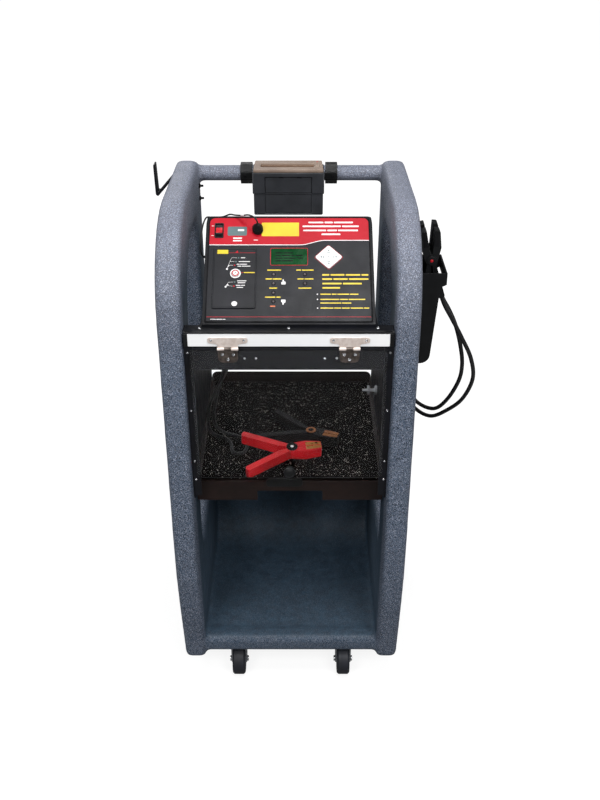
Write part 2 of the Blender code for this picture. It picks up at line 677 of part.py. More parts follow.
def shelf_trim():
    half = TRIM_WIDTH / 2
    box("shelf_trim", (-half, TRIM_FRONT_Y, TRIM_BOTTOM_Z), (half, TRIM_FRONT_Y + TRIM_DEPTH,
        TRIM_BOTTOM_Z + TRIM_HEIGHT), "white_trim", 0.0012, 2)


def bay_side(suffix, side):
    bottom = TRAY_FLOOR_Z - TRAY_FLANGE_HEIGHT / 2
    outline = rounded_outline([
        (BAY_FRONT_Y, bottom, 0.006), (TRAY_REAR_Y - 0.002, bottom, 0.006),
        (TRAY_REAR_Y - 0.002, SIDE_STEP_Z - 0.070, 0.010), (SHELF_REAR_Y, SIDE_STEP_Z, 0.010),
        (SHELF_REAR_Y, SHELF_TOP_Z - SIDE_TOP_FALL, 0.020), (SHELF_LEDGE_Y, SHELF_TOP_Z, 0.006),
        (BAY_FRONT_Y, SHELF_TOP_Z, 0.006)], 20)
    low, high = sorted((side * PANEL_INNER_X, side * PANEL_OUTER_X))
    panel = slab("bay_side_" + suffix, [outline], "X", low, high, "black_sheet")
    low, high = sorted((side * (PANEL_OUTER_X - SIDE_FLANGE_WIDTH), side * (PANEL_OUTER_X - SIDE_PANEL_THICKNESS / 2)))
    flange = box("bay_flange_" + suffix, (low, BAY_FRONT_Y, bottom + 0.010),
                 (high, BAY_FRONT_Y + SHEET, SHELF_TOP_Z - 0.006), "black_sheet")
    join(panel, flange)


def tray():
    floor_z, half = TRAY_FLOOR_Z, SHELF_HALF
    low_z = floor_z - TRAY_FLANGE_HEIGHT
    floor = box("tray", (-half, TRAY_FRONT_Y, floor_z - SHEET), (half, TRAY_REAR_Y, floor_z),
                "brown_black_sheet")
    notch = TRAY_NOTCH_WIDTH / 2
    front = rounded_outline([
        (-half, low_z, 0.004), (-notch, low_z, 0), (-notch, low_z + TRAY_NOTCH_HEIGHT, 0.004),
        (notch, low_z + TRAY_NOTCH_HEIGHT, 0.004), (notch, low_z, 0), (half, low_z, 0.004),
        (half, floor_z - SHEET / 2, 0), (-half, floor_z - SHEET / 2, 0)], 30)
    flange = slab("tray_flange", [front], "Y", TRAY_FRONT_Y, TRAY_FRONT_Y + SHEET, "brown_black_sheet")
    back = rounded_outline([
        (-half, floor_z - SHEET / 2, 0), (half, floor_z - SHEET / 2, 0),
        (half, floor_z + TRAY_LIP_HEIGHT, 0.014), (-half, floor_z + TRAY_LIP_HEIGHT, 0.014)], 22)
    lip = slab("tray_lip", [back], "Y", TRAY_REAR_Y - SHEET, TRAY_REAR_Y, "brown_black_sheet")
    sides = []
    for side in (-1, 1):
        low, high = sorted((side * (half - SHEET), side * half))
        sides.append(box("tray_side_%d" % side, (low, TRAY_FRONT_Y, floor_z - SHEET / 2),
                         (high, TRAY_REAR_Y, floor_z + TRAY_LIP_HEIGHT / 2), "brown_black_sheet"))
    join(floor, flange, lip, *sides)


def tray_mat():
    half = SHELF_HALF - SHEET - MAT_MARGIN
    slab("tray_mat", [rectangle(-half, TRAY_FRONT_Y + MAT_MARGIN, half, TRAY_REAR_Y - MAT_MARGIN - SHEET, 0.008)],
         "Z", TRAY_FLOOR_Z + GAP, MAT_TOP_Z, "mat_rubber")


# ---- Bay door ----

def bay_door():
    half = DOOR_WIDTH / 2
    top = HINGE_AXIS_Z - KNUCKLE_RADIUS - RUNNING_GAP
    panel = slab("door_panel", [rectangle(-half, DOOR_BOTTOM_Z, half, top, 0.008)], "Y",
                 DOOR_OUTER_Y, DOOR_INNER_Y, "clear_plastic")
    set_pivot(panel, (0, HINGE_AXIS_Y, HINGE_AXIS_Z))
    base_y = DOOR_OUTER_Y - GAP
    tip = KNOB_LENGTH
    profile = [(0, tip), (KNOB_RADIUS * 0.6, tip - 0.001), (KNOB_RADIUS, tip - 0.004),
               (KNOB_RADIUS, tip - 0.007), (KNOB_RADIUS * 0.5, tip - 0.010), (KNOB_RADIUS * 0.5, 0.002),
               (KNOB_RADIUS * 0.8, 0.001), (KNOB_RADIUS * 0.8, 0), (0, 0)]
    turned("door_knob", profile, Matrix.Translation((0, base_y, KNOB_HEIGHT_Z)) @ AXIS_FRAMES["Y"],
           "black_plastic", 24)


def hinge(suffix, x):
    third = HINGE_WIDTH / 3
    half = HINGE_WIDTH / 2
    axis_y, axis_z = HINGE_AXIS_Y, HINGE_AXIS_Z

    fixed_y = TRIM_FRONT_Y - GAP
    wide = FIXED_LEAF_WIDTH / 2
    tab = half - 0.0005
    foot = axis_z - 0.0007
    upper = rounded_outline([
        (x - tab, foot, 0), (x + tab, foot, 0), (x + tab, TRIM_BOTTOM_Z + 0.006, 0.004),
        (x + wide, TRIM_BOTTOM_Z + 0.009, 0.004), (x + wide, TRIM_BOTTOM_Z + TRIM_HEIGHT - 0.008, 0.004),
        (x - wide, TRIM_BOTTOM_Z + TRIM_HEIGHT - 0.008, 0.004), (x - wide, TRIM_BOTTOM_Z + 0.009, 0.004),
        (x - tab, TRIM_BOTTOM_Z + 0.006, 0.004)], 30)
    leaf = slab("hinge_leaf_" + suffix, [upper], "Y", fixed_y - HINGE_SHEET, fixed_y, "bright_steel")
    clear = third / 2 + GAP + 0.0002
    relief = box("knuckle_relief_" + suffix, (x - clear, axis_y - 0.01, axis_z - 0.01),
                 (x + clear, axis_y + 0.01, axis_z + KNUCKLE_RADIUS + GAP), "bright_steel")
    cut(leaf, relief)
    barrels = [cylinder("barrel_%s_%d" % (suffix, side), (x + (-half if side < 0 else third / 2 + GAP),
                        axis_y, axis_z), "X", third - GAP, KNUCKLE_RADIUS, "bright_steel", 16)
               for side in (-1, 1)]
    pin = cylinder("hinge_pin_" + suffix, (x - half + 0.001, axis_y, axis_z), "X", HINGE_WIDTH - 0.002,
                   HINGE_PIN_RADIUS, "bright_steel", 12)
    join(leaf, *barrels, pin)

    moving_y = DOOR_OUTER_Y - GAP
    bottom = axis_z - KNUCKLE_RADIUS - HINGE_LEAF_HEIGHT
    edge = half - 0.001
    shoulder = axis_z - KNUCKLE_RADIUS - RUNNING_GAP
    tongue = third / 2 - 2 * GAP
    lower = rounded_outline([
        (x - edge, shoulder, 0), (x - edge, bottom, 0.009), (x + edge, bottom, 0.009), (x + edge, shoulder, 0),
        (x + tongue, shoulder, 0), (x + tongue, axis_z + 0.0007, 0), (x - tongue, axis_z + 0.0007, 0),
        (x - tongue, shoulder, 0)], 30)
    door_leaf = slab("door_leaf_" + suffix, [lower], "Y", moving_y - HINGE_SHEET, moving_y, "bright_steel")
    length = third - 2 * GAP
    barrel = cylinder("door_barrel_" + suffix, (x - length / 2, axis_y, axis_z), "X", length,
                      KNUCKLE_RADIUS, "bright_steel", 16)
    bore = cylinder("door_bore_" + suffix, (x - length, axis_y, axis_z), "X", 2 * length,
                    HINGE_PIN_RADIUS + 0.0002, "bright_steel", 12)
    join(door_leaf, barrel)
    cut(door_leaf, bore)
    set_pivot(door_leaf, (x, axis_y, axis_z))


# ---- Charger console ----

def case_profile(inset, rear_y):
    """Side view of the console: floor, nose, sloping face, falling top and rear."""
    up, down = FACE_SLOPE, CASE_TOP_FALL
    brow = (CASE_BROW_Y + inset * (math.cos(down) - math.cos(up)) / math.sin(up + down),
            CASE_TOP_Z - inset * (math.sin(up) + math.sin(down)) / math.sin(up + down))
    return [
        (CASE_FRONT_Y + inset, CASE_BOTTOM_Z + inset),
        (rear_y, CASE_BOTTOM_Z + inset),
        (rear_y, CASE_TOP_Z - (rear_y - CASE_BROW_Y) * math.tan(down) - inset / math.cos(down)),
        brow,
        (CASE_FRONT_Y + inset, CASE_BOTTOM_Z + CASE_NOSE - inset / math.cos(FACE_SLOPE)
         + inset * math.tan(FACE_SLOPE)),
    ]


def rounded_top(name, inset, radius):
    """The console's front view, with its top corners rounded."""
    half, top = CASE_WIDTH / 2 - inset, CASE_TOP_Z - inset
    outline = rounded_outline([(-half, CASE_BOTTOM_Z - 0.02, 0), (half, CASE_BOTTOM_Z - 0.02, 0),
                               (half, top, radius), (-half, top, radius)], 18)
    return slab(name, [outline], "Y", CASE_FRONT_Y - 0.02, CASE_REAR_Y + 0.05, "black_sheet")


def console_case():
    half = CASE_WIDTH / 2
    case = slab("charger_case", [case_profile(0, CASE_REAR_Y)], "X", -half - 0.01, half + 0.01, "black_sheet")
    combine(case, "INTERSECT", rounded_top("case_corners", 0, CASE_CORNER_RADIUS))
    inside = case_profile(CASE_WALL, CASE_REAR_Y + 0.02)
    # The nose is lower than two walls, so the hollow's front edge is set back to where they part
    setback = CASE_WALL * 2 / math.tan(FACE_SLOPE)
    inside[0] = (CASE_FRONT_Y + CASE_WALL + setback, CASE_BOTTOM_Z + CASE_WALL)
    face_under = Vector((0, CASE_FRONT_Y, CASE_BOTTOM_Z + CASE_NOSE - CASE_WALL / math.cos(FACE_SLOPE)))
    inside[4] = (inside[0][0], face_under.z + (inside[0][0] - CASE_FRONT_Y) * math.tan(FACE_SLOPE))
    hollow = slab("case_hollow", [inside], "X", -half, half, "black_sheet")
    combine(hollow, "INTERSECT", rounded_top("hollow_corners", CASE_WALL, CASE_CORNER_RADIUS - CASE_WALL))
    cut(case, hollow, rocker_hole("case", CASE_WALL), plug_hole("case"))


def rocker_hole(owner, depth):
    x, s = ROCKER_PLACE
    across = ROCKER_WIDTH / 2 + GAP
    along = ROCKER_RADIUS + GAP
    return box(owner + "_rocker_hole", (x - across, s - along, -2 * depth - 0.002),
               (x + across, s + along, 0.01), "panel_print", frame=FACE_FRAME)


def plug_hole(owner):
    x, s = PLUG_PLACE
    return cylinder(owner + "_plug_hole", (x, s, -0.01), "Z", 0.02, PLUG_PIN_RADIUS + RUNNING_GAP,
                    "panel_print", 20, FACE_FRAME)


def face_panel():
    half = FACE_WIDTH / 2
    edge = rounded_outline([(-half, 0.004, 0.003), (half, 0.004, 0.003),
                            (half, FACE_LENGTH - 0.003, FACE_CORNER_RADIUS),
                            (-half, FACE_LENGTH - 0.003, FACE_CORNER_RADIUS)], 15)
    lx, ls = LCD_PLACE
    wide, high = LCD_SIZE[0] / 2 + GAP, LCD_SIZE[1] / 2 + GAP
    display = rectangle(lx - wide, ls - high, lx + wide, ls + high, 0.003)
    kx, ks = KEYPAD_PLACE
    reach = KEYPAD_HALF + 1.5 * GAP
    diamond = rounded_outline([(kx, ks - reach, 0.004), (kx + reach, ks, 0.004), (kx, ks + reach, 0.004),
                               (kx - reach, ks, 0.004)], 30)
    rx, rs = ROCKER_PLACE
    across, along = ROCKER_WIDTH / 2 + GAP, ROCKER_RADIUS + GAP
    rocker_gap = rectangle(rx - across, rs - along, rx + across, rs + along)
    px, ps = PLUG_PLACE
    socket = circle(px, ps, PLUG_PIN_RADIUS + RUNNING_GAP, 20)
    slab("face_panel", [edge, display, diamond, rocker_gap, socket], FACE_FRAME, GAP, OVERLAY_TOP,
         "panel_print")
    wide, high = LCD_SIZE[0] / 2, LCD_SIZE[1] / 2
    slab("lcd_window", [rectangle(lx - wide, ls - high, lx + wide, ls + high, 0.003)], FACE_FRAME, GAP,
         OVERLAY_TOP + 0.0004, "display_green")


def rocker_switch():
    x, s = ROCKER_PLACE
    top = math.radians(38)
    arc = [(ROCKER_RADIUS * math.cos(top - math.radians(a)), ROCKER_RADIUS * math.sin(top - math.radians(a)))
           for a in range(0, 77, 12)]
    right = arc + [(ROCKER_RADIUS * 0.75, -ROCKER_RADIUS * 0.62)]
    left = [(-px, py) for px, py in reversed(right)]
    outline = right + left + [(0, ROCKER_RADIUS * 0.38)]
    tilted = [(px * math.cos(ROCKER_TILT) + py * math.sin(ROCKER_TILT),
               -px * math.sin(ROCKER_TILT) + py * math.cos(ROCKER_TILT)) for px, py in outline]
    frame = FACE_FRAME @ Matrix.Translation((x, s, -ROCKER_DEPTH)) @ AXIS_FRAMES["X"]
    item = slab("rocker", [tilted], frame, -ROCKER_WIDTH / 2, ROCKER_WIDTH / 2, "red_plastic")
    set_pivot(item, FACE_FRAME @ Vector((x, s, -ROCKER_DEPTH)))


def keypad():
    x, s = KEYPAD_PLACE
    half = KEYPAD_HALF
    outline = rounded_outline([(x, s - half, 0.004), (x + half, s, 0.004), (x, s + half, 0.004),
                               (x - half, s, 0.004)], 30)
    low = GAP + KEYPAD_TRAVEL
    item = slab("keypad", [outline], FACE_FRAME, low, low + KEYPAD_THICKNESS, "key_white")
    set_pivot(item, FACE_FRAME @ Vector((x, s, low)))


def tester_panel():
    x, s = TESTER_PLACE
    wide, high = TESTER_SIZE[0] / 2, TESTER_SIZE[1] / 2
    low = OVERLAY_TOP + GAP
    bx, bs = RING_BUTTON_PLACE
    hole = circle(bx, bs, RING_BUTTON_RADIUS + RUNNING_GAP, 28)
    slab("tester_panel", [rectangle(x - wide, s - high, x + wide, s + high, 0.004), hole], FACE_FRAME, low,
         low + TESTER_THICKNESS, "panel_print", 0.0006, 0)
    bottom = low + RING_BUTTON_TRAVEL
    button = cylinder("ring_button", (bx, bs, bottom), "Z", TESTER_THICKNESS + 0.0012, RING_BUTTON_RADIUS,
                      "key_white", 28, FACE_FRAME)
    set_pivot(button, FACE_FRAME @ Vector((bx, bs, bottom)))


def data_plug():
    x, s = PLUG_PLACE
    seat = OVERLAY_TOP + GAP
    tip = seat + PLUG_LENGTH
    profile = [(0, tip), (DATA_LEAD_RADIUS + 0.002, tip), (PLUG_RADIUS * 0.75, tip - 0.006),
               (PLUG_RADIUS, tip - 0.010), (PLUG_RADIUS, seat), (PLUG_PIN_RADIUS, seat),
               (PLUG_PIN_RADIUS, seat - PLUG_PIN_LENGTH), (0, seat - PLUG_PIN_LENGTH)]
    turned("data_plug", profile, FACE_FRAME @ Matrix.Translation((x, s, 0)), "black_plastic", 20)


def rear_cover():
    half = CASE_WIDTH / 2 - 0.001
    fx, fz = FAN_PLACE
    outlines = [rounded_outline([(-half, CASE_BOTTOM_Z + 0.001, 0.002), (half, CASE_BOTTOM_Z + 0.001, 0.002),
                                 (half, CASE_REAR_TOP_Z - 0.001, 0.003),
                                 (-half, CASE_REAR_TOP_Z - 0.001, 0.003)], 30)]
    slot_half, pitch = 0.0025, 0.010
    for row in range(-3, 4):
        reach = math.sqrt(FAN_BORE_RADIUS ** 2 - (row * pitch) ** 2) - 0.002
        z = fz + row * pitch
        outlines.append(rectangle(fx - reach, z - slot_half, fx + reach, z + slot_half))
    ix, iz = INLET_PLACE
    wide, high = INLET_SIZE[0] / 2 - 0.008 + GAP, INLET_SIZE[1] / 2 - 0.003 + GAP
    outlines.append(rectangle(ix - wide, iz - high, ix + wide, iz + high))
    slab("rear_cover", outlines, "Y", CASE_REAR_Y + GAP, COVER_OUTER_Y, "black_sheet")


def mains_inlet():
    x, z = INLET_PLACE
    wide, high = INLET_SIZE[0] / 2, INLET_SIZE[1] / 2
    flange_y = COVER_OUTER_Y + GAP
    flange = box("mains_inlet", (x - wide, flange_y, z - high), (x + wide, flange_y + 0.004, z + high),
                 "black_plastic", 0.001, 1)
    inner_wide, inner_high = wide - 0.008, high - 0.003
    body = box("inlet_body", (x - inner_wide, CASE_REAR_Y - 0.018, z - inner_high),
               (x + inner_wide, flange_y + 0.002, z + inner_high), "black_plastic")
    recess = box("inlet_recess", (x - inner_wide + 0.003, CASE_REAR_Y - 0.015, z - inner_high + 0.003),
                 (x + inner_wide - 0.003, flange_y + 0.01, z + inner_high - 0.003), "black_plastic")
    join(flange, body)
    cut(flange, recess)
    blades = [box("inlet_blade_%d" % n, (x + dx - 0.001, CASE_REAR_Y - 0.016, z + dz - 0.002),
                  (x + dx + 0.001, CASE_REAR_Y - 0.002, z + dz + 0.002), "black_plastic")
              for n, (dx, dz) in enumerate(((-0.007, -0.002), (0.007, -0.002), (0, 0.003)))]
    join(flange, *blades)


def cooling_fan():
    x, z = FAN_PLACE
    half = FAN_SIZE / 2
    rear = CASE_REAR_Y
    front = rear - FAN_DEPTH
    frame_edge = rectangle(x - half, z - half, x + half, z + half, 0.005)
    housing = slab("fan_frame", [frame_edge, circle(x, z, FAN_BORE_RADIUS + 0.0015, 32)], "Y", front, rear,
                   "black_plastic")
    motor = cylinder("fan_motor", (x, rear - 0.004, z), "Y", 0.004, FAN_HUB_RADIUS, "black_plastic", 24)
    arm = half - 0.0006
    struts = [box("fan_strut_%d" % n, (x - wide, rear - 0.003, z - high), (x + wide, rear - 0.0004, z + high),
                  "black_plastic") for n, (wide, high) in enumerate(((arm, 0.0015), (0.0015, arm)))]
    join(housing, motor, *struts)
    hub_depth = 0.016
    hub_y = rear - 0.004 - RUNNING_GAP - hub_depth
    rotor = cylinder("fan_rotor", (x, hub_y, z), "Y", hub_depth, FAN_HUB_RADIUS, "black_plastic", 24)
    blades = []
    for index in range(FAN_BLADE_COUNT):
        turn = Matrix.Translation((x, hub_y + hub_depth / 2, z)) @ Matrix.Rotation(
            2 * math.pi * index / FAN_BLADE_COUNT, 4, "Y") @ Matrix.Rotation(math.radians(35), 4, "Z")
        blades.append(box("fan_blade_%d" % index, (-0.008, -0.0010, FAN_HUB_RADIUS - 0.003),
                          (0.008, 0.0010, FAN_BORE_RADIUS - 0.002), "black_plastic", frame=turn))
    join(rotor, *blades)
    set_pivot(rotor, (x, hub_y, z))


def transformer():
    x, y = TRANSFORMER_PLACE
    wide, deep, high = TRANSFORMER_SIZE
    floor = CASE_BOTTOM_Z + CASE_WALL + GAP
    core = box("transformer", (x - wide / 2, y - deep / 4, floor), (x + wide / 2, y + deep / 4, floor + high),
               "winding_copper", 0.002, 1)
    winding = box("winding", (x - wide / 3, y - deep / 2, floor + high * 0.15),
                  (x + wide / 3, y + deep / 2, floor + high * 0.85), "winding_copper", 0.006, 2)
    join(core, winding)


def control_board():
    x, y = BOARD_PLACE
    wide, deep, thick = BOARD_SIZE
    floor = CASE_BOTTOM_Z + CASE_WALL + GAP
    low = floor + BOARD_STANDOFF
    board = box("control_board", (x - wide / 2, y - deep / 2, low), (x + wide / 2, y + deep / 2, low + thick),
                "board_green")
    foot_x, foot_y = wide / 2 - BOARD_FOOT_MARGIN, deep / 2 - BOARD_FOOT_MARGIN
    feet = [cylinder("standoff_%d" % n, (x + sx * foot_x, y + sy * foot_y, floor), "Z",
                     BOARD_STANDOFF + thick / 2, 0.003, "board_green", 8)
            for n, (sx, sy) in enumerate(((-1, -1), (1, -1), (1, 1), (-1, 1)))]
    half_x, half_y = BOARD_CHIP_SIZE[0] / 2, BOARD_CHIP_SIZE[1] / 2
    chips = [box("chip_%d" % n, (x + cx - half_x, y + cy - half_y, low + thick / 2),
                 (x + cx + half_x, y + cy + half_y, low + thick + ch), "board_green")
             for n, (cx, cy, ch) in enumerate(BOARD_CHIPS)]
    join(board, *feet, *chips)


# ---- Receipt printer ----

def printer():
    half = PRINTER_WIDTH / 2
    front, rear = PRINTER_FRONT_Y, PRINTER_FRONT_Y + PRINTER_DEPTH
    body = box("printer_body", (PRINTER_X - half, front + PRINTER_BAND, PRINTER_BOTTOM_Z),
               (PRINTER_X + half, rear, PRINTER_TOP_Z - 0.002), "black_plastic", 0.003, 2)
    band = box("printer_band", (PRINTER_X - half - PRINTER_BAND, front, PRINTER_BAND_Z),
               (PRINTER_X + half + PRINTER_BAND, rear - 0.006, PRINTER_TOP_Z), "black_plastic", 0.0012, 1)
    recess = box("printer_recess", (PRINTER_X - half * 0.68, front - 0.01, PRINTER_BOTTOM_Z + 0.004),
                 (PRINTER_X + half * 0.68, front + PRINTER_BAND + 0.0015, PRINTER_TOP_Z - 0.008), "black_plastic")
    low = PRINTER_TOP_Z + GAP
    top = low + PRINTER_LID_THICKNESS
    slot_x, slot_y = PAPER_SLOT
    middle_y = (front + rear) / 2
    well_x = PRINTER_X + half - 0.012
    well_half = (FEED_BUTTON[0] / 2 + RUNNING_GAP, FEED_BUTTON[1] / 2 + RUNNING_GAP)
    slot_at = PRINTER_X - 0.002
    mouth = box("paper_mouth", (slot_at - slot_x / 2, middle_y - slot_y / 2, PRINTER_TOP_Z - 0.020),
                (slot_at + slot_x / 2, middle_y + slot_y / 2, top + 0.01), "black_plastic")
    join(body, band)
    cut(body, recess, mouth)
    edge = rounded_outline([
        (PRINTER_X - half, front + 0.002, 0.003), (PRINTER_X + half, front + 0.002, 0.003),
        (PRINTER_X + half - 0.002, rear - 0.002, 0.003), (PRINTER_X - half + 0.002, rear - 0.002, 0.003)], 30)
    slot = rectangle(slot_at - slot_x / 2, middle_y - slot_y / 2, slot_at + slot_x / 2, middle_y + slot_y / 2, 0.002)
    well = rectangle(well_x - well_half[0], middle_y - well_half[1], well_x + well_half[0], middle_y + well_half[1])
    slab("printer_top", [edge, slot, well], "Z", low, top, "tan_plastic", 0.001, 0)
    bottom = low + FEED_BUTTON_TRAVEL
    button = box("feed_button", (well_x - FEED_BUTTON[0] / 2, middle_y - FEED_BUTTON[1] / 2, bottom),
                 (well_x + FEED_BUTTON[0] / 2, middle_y + FEED_BUTTON[1] / 2, top + 0.0004), "tan_plastic",
                 0.0005, 1)
    set_pivot(button, (well_x, middle_y, bottom))


def printer_mounting():
    sides = 8
    flat = BAR_CLAMP_RADIUS * math.cos(math.pi / sides)
    centre_reach = PRINTER_WIDTH / 2 + PRINTER_BAND + 0.005
    for suffix, side in (("left", -1), ("right", 1)):
        low, high = sorted((PRINTER_X + side * centre_reach, PRINTER_X + side * (centre_reach + BAR_CLAMP_LENGTH)))
        outline = [(HANDLE_Y + BAR_CLAMP_RADIUS * math.cos(math.pi * (2 * i + 1) / sides),
                    HANDLE_Z + BAR_CLAMP_RADIUS * math.sin(math.pi * (2 * i + 1) / sides)) for i in range(sides)]
        slab("bar_clamp_" + suffix, [outline, circle(HANDLE_Y, HANDLE_Z, HANDLE_RADIUS + GAP, 28)], "X",
             low, high, "black_plastic")
    rear = HANDLE_Y - flat - GAP
    strip_half = centre_reach + BAR_CLAMP_LENGTH
    strip = box("printer_cradle", (PRINTER_X - strip_half, rear - CRADLE_THICKNESS, HANDLE_Z + CRADLE_STRIP_SPAN[0]),
                (PRINTER_X + strip_half, rear, HANDLE_Z + CRADLE_STRIP_SPAN[1]), "black_plastic", 0.001, 1)
    block_half = PRINTER_WIDTH / 2 - CRADLE_BLOCK_MARGIN
    block = box("cradle_block", (PRINTER_X - block_half, PRINTER_FRONT_Y + PRINTER_DEPTH + GAP,
                                 HANDLE_Z + CRADLE_BLOCK_SPAN[0]),
                (PRINTER_X + block_half, rear - 0.001, HANDLE_Z + CRADLE_BLOCK_SPAN[1]), "black_plastic")
    join(strip, block)


# ---- Cable hook and holster ----

def cable_hook():
    thick, wide = HOOK_STRAP
    inner = -HALF_WIDTH - GAP
    outer = inner - HOOK_REACH
    top, base = HOOK_TOP_Z, HOOK_TOP_Z - HOOK_DROP
    valley = base + 1.6 * thick
    lean = (top - valley) / (HOOK_REACH - thick - 0.001)
    under = top - thick * lean - thick * math.hypot(1, lean)      # where the slanting strap leaves the leg
    outline = rounded_outline([
        (inner, top - HOOK_LEG_HEIGHT, 0), (inner, top, 0.001), (outer + thick + 0.001, valley, 0.002),
        (outer + thick - 0.001, base + HOOK_PRONG_HEIGHT, 0.0015), (outer - 0.001, base + HOOK_PRONG_HEIGHT, 0.0015),
        (outer, base + thick, 0.004), (outer + thick + 0.001, base, 0.003), (inner - thick, under, 0.001),
        (inner - thick, top - HOOK_LEG_HEIGHT, 0)], 25)
    slab("cable_hook", [outline], "Y", HOOK_Y - wide / 2, HOOK_Y + wide / 2, "black_sheet")


def holster_outline(inset):
    back = HALF_WIDTH + GAP
    top, foot = HOLSTER_TOP_Z, HOLSTER_BOTTOM_Z
    rim = top - HOLSTER_RIM_HEIGHT
    return rounded_outline([
        (back + inset, foot + inset, 0.004), (back + HOLSTER_FOOT_DEPTH - inset, foot + inset, 0.020 - inset),
        (back + HOLSTER_NECK_DEPTH - inset, rim - 0.006, 0.0), (back + HOLSTER_RIM_DEPTH - inset, rim, 0.0),
        (back + HOLSTER_RIM_DEPTH - inset, top + inset, 0.0), (back + inset, top + inset, 0.0)], 20)


def holster():
    half = HOLSTER_WIDTH / 2
    low, high = HOLSTER_Y - half, HOLSTER_Y + half
    back = HALF_WIDTH + GAP
    pocket = slab("holster", [holster_outline(0)], "Y", low, high, "black_plastic")
    plate_outline = rectangle(low - HOLSTER_PLATE_REACH, HOLSTER_BOTTOM_Z + 0.030, high,
                              HOLSTER_TOP_Z - 0.020, 0.010)
    plate = slab("holster_plate", [plate_outline], "X", back, back + HOLSTER_WALL, "black_plastic")
    hollow = slab("holster_hollow", [holster_outline(HOLSTER_WALL)], "Y", low + HOLSTER_WALL,
                  high - HOLSTER_WALL, "black_plastic")
    rim = HOLSTER_TOP_Z - HOLSTER_RIM_HEIGHT
    slot = box("holster_slot", (back + 0.020, low + 0.006, rim - HOLSTER_SLOT_HEIGHT),
               (back + 0.10, high - 0.006, rim), "black_plastic")
    join(pocket, plate)
    cut(pocket, hollow, slot)


# ---- Spring clamps ----

def clamp_arm(name, size, side, finish):
    """One half's arm, in its own frame: x to the jaw's tip, y to its side, pivot at the origin."""
    spread, reach, jaw = size["spread"], size["handle"], size["jaw"]
    along = Vector((-math.cos(spread), math.sin(spread)))
    across = Vector((math.sin(spread), math.cos(spread)))
    end = along * reach
    half = CLAMP_HANDLE_WIDTH / 2
    root = along * 0.010
    lean = math.tan(size["limit"] / 2)
    fork = (half * across.y + half * across.x * lean + 0.0012) / (along.y + along.x * lean)
    corners = [
        (jaw, 0.0008, 0), (jaw, 0.0110, 0.004), (jaw * 0.45, 0.0165, 0.01), (0.004, 0.0130, 0.004),
        (*(root + across * half), 0.006), (*(end + across * half), 0.005), (*(end - across * half), 0.005),
        (*(along * fork - across * half), 0.0), (0.001, 0.0008, 0.0)]
    outline = rounded_outline(corners, 30)
    outline = [(x, side * y) for x, y in outline]
    turn = Matrix.Rotation(side * size["squeeze"] / 2, 4, "Z")
    arm = slab(name, [outline], "Z", -CLAMP_THICKNESS / 2, CLAMP_THICKNESS / 2, finish)
    arm.data.transform(turn)
    return arm


def clamp(prefix, size, place, finish):
    """A spring clamp: an upper half with outer cheeks and the pin, and a lower half with the middle cheek."""
    half = CLAMP_THICKNESS / 2
    middle = half * 0.36
    radius, bore = CLAMP_PIVOT_RADIUS, CLAMP_PIVOT_RADIUS + 0.0007

    def disc(name, low, high, size_of, sides=20):
        return cylinder(name, (0, 0, low), "Z", high - low, size_of, finish, sides)

    upper = clamp_arm(prefix + "_upper", size, 1, finish)
    cut(upper, disc(prefix + "_mid_relief", -middle - GAP, middle + GAP, bore))
    join(upper, disc(prefix + "_disc_a", middle + GAP, half + CLAMP_DISC_RISE, radius),
         disc(prefix + "_disc_b", -half - CLAMP_DISC_RISE, -middle - GAP, radius),
         disc(prefix + "_pin", -half, half, CLAMP_PIN_RADIUS, 14))
    lower = clamp_arm(prefix + "_lower", size, -1, finish)
    cut(lower, disc(prefix + "_outer_relief_a", middle, half + 0.01, bore),
        disc(prefix + "_outer_relief_b", -half - 0.01, -middle, bore))
    join(lower, disc(prefix + "_disc_mid", -middle, middle, radius))
    cut(lower, disc(prefix + "_pin_hole", -half, half, CLAMP_PIN_RADIUS + RUNNING_GAP, 14))
    for item in (upper, lower):
        for modifier in item.modifiers:
            if modifier.object.parent is None:
                modifier.object.matrix_world = place @ modifier.object.matrix_world
        item.matrix_world = place @ item.matrix_world


def clamp_places():
    half_height = CLAMP_THICKNESS / 2 + CLAMP_DISC_RISE
    handle_edge = (TEST_CLAMP["handle"] * math.sin(TEST_CLAMP["spread"])
                   + CLAMP_HANDLE_WIDTH / 2 * math.cos(TEST_CLAMP["spread"]))
    roll = RED_TEST_CLAMP_ROLL
    rolled_z = MAT_TOP_Z + GAP + handle_edge * math.sin(roll) + half_height * math.cos(roll)
    red = (Matrix.Translation((*RED_TEST_CLAMP_PLACE, rolled_z))
           @ Matrix.Rotation(RED_TEST_CLAMP_TURN, 4, "Z") @ Matrix.Rotation(roll, 4, "X"))
    bx, by = BLACK_TEST_CLAMP_PLACE
    rest_z = MAT_TOP_Z + GAP + half_height
    black = Matrix.Translation((bx, by, rest_z)) @ Matrix.Rotation(BLACK_TEST_CLAMP_TURN, 4, "Z")
    upright = Matrix(((0, 1, 0, 0), (0, 0, 1, 0), (1, 0, 0, 0), (0, 0, 0, 1)))
    middle_x = HALF_WIDTH + GAP + HOLSTER_RIM_DEPTH / 2
    pivot_z = HOLSTER_TOP_Z + CHARGE_CLAMP_RISE
    spread_y = CLAMP_THICKNESS / 2 + 0.008
    lean = Matrix.Rotation(-CHARGE_CLAMP_LEAN, 4, "Y")
    holstered = [Matrix.Translation((middle_x, HOLSTER_Y + side * spread_y, pivot_z)) @ lean @ upright
                 for side in (-1, 1)]
    return red, black, holstered[0], holstered[1]


def clamps():
    red, black, charge_red, charge_black = clamp_places()
    clamp("red_test_clamp", TEST_CLAMP, red, "red_plastic")
    clamp("black_test_clamp", TEST_CLAMP, black, "black_plastic")
    clamp("red_charge_clamp", CHARGE_CLAMP, charge_red, "red_plastic")
    clamp("black_charge_clamp", CHARGE_CLAMP, charge_black, "black_plastic")


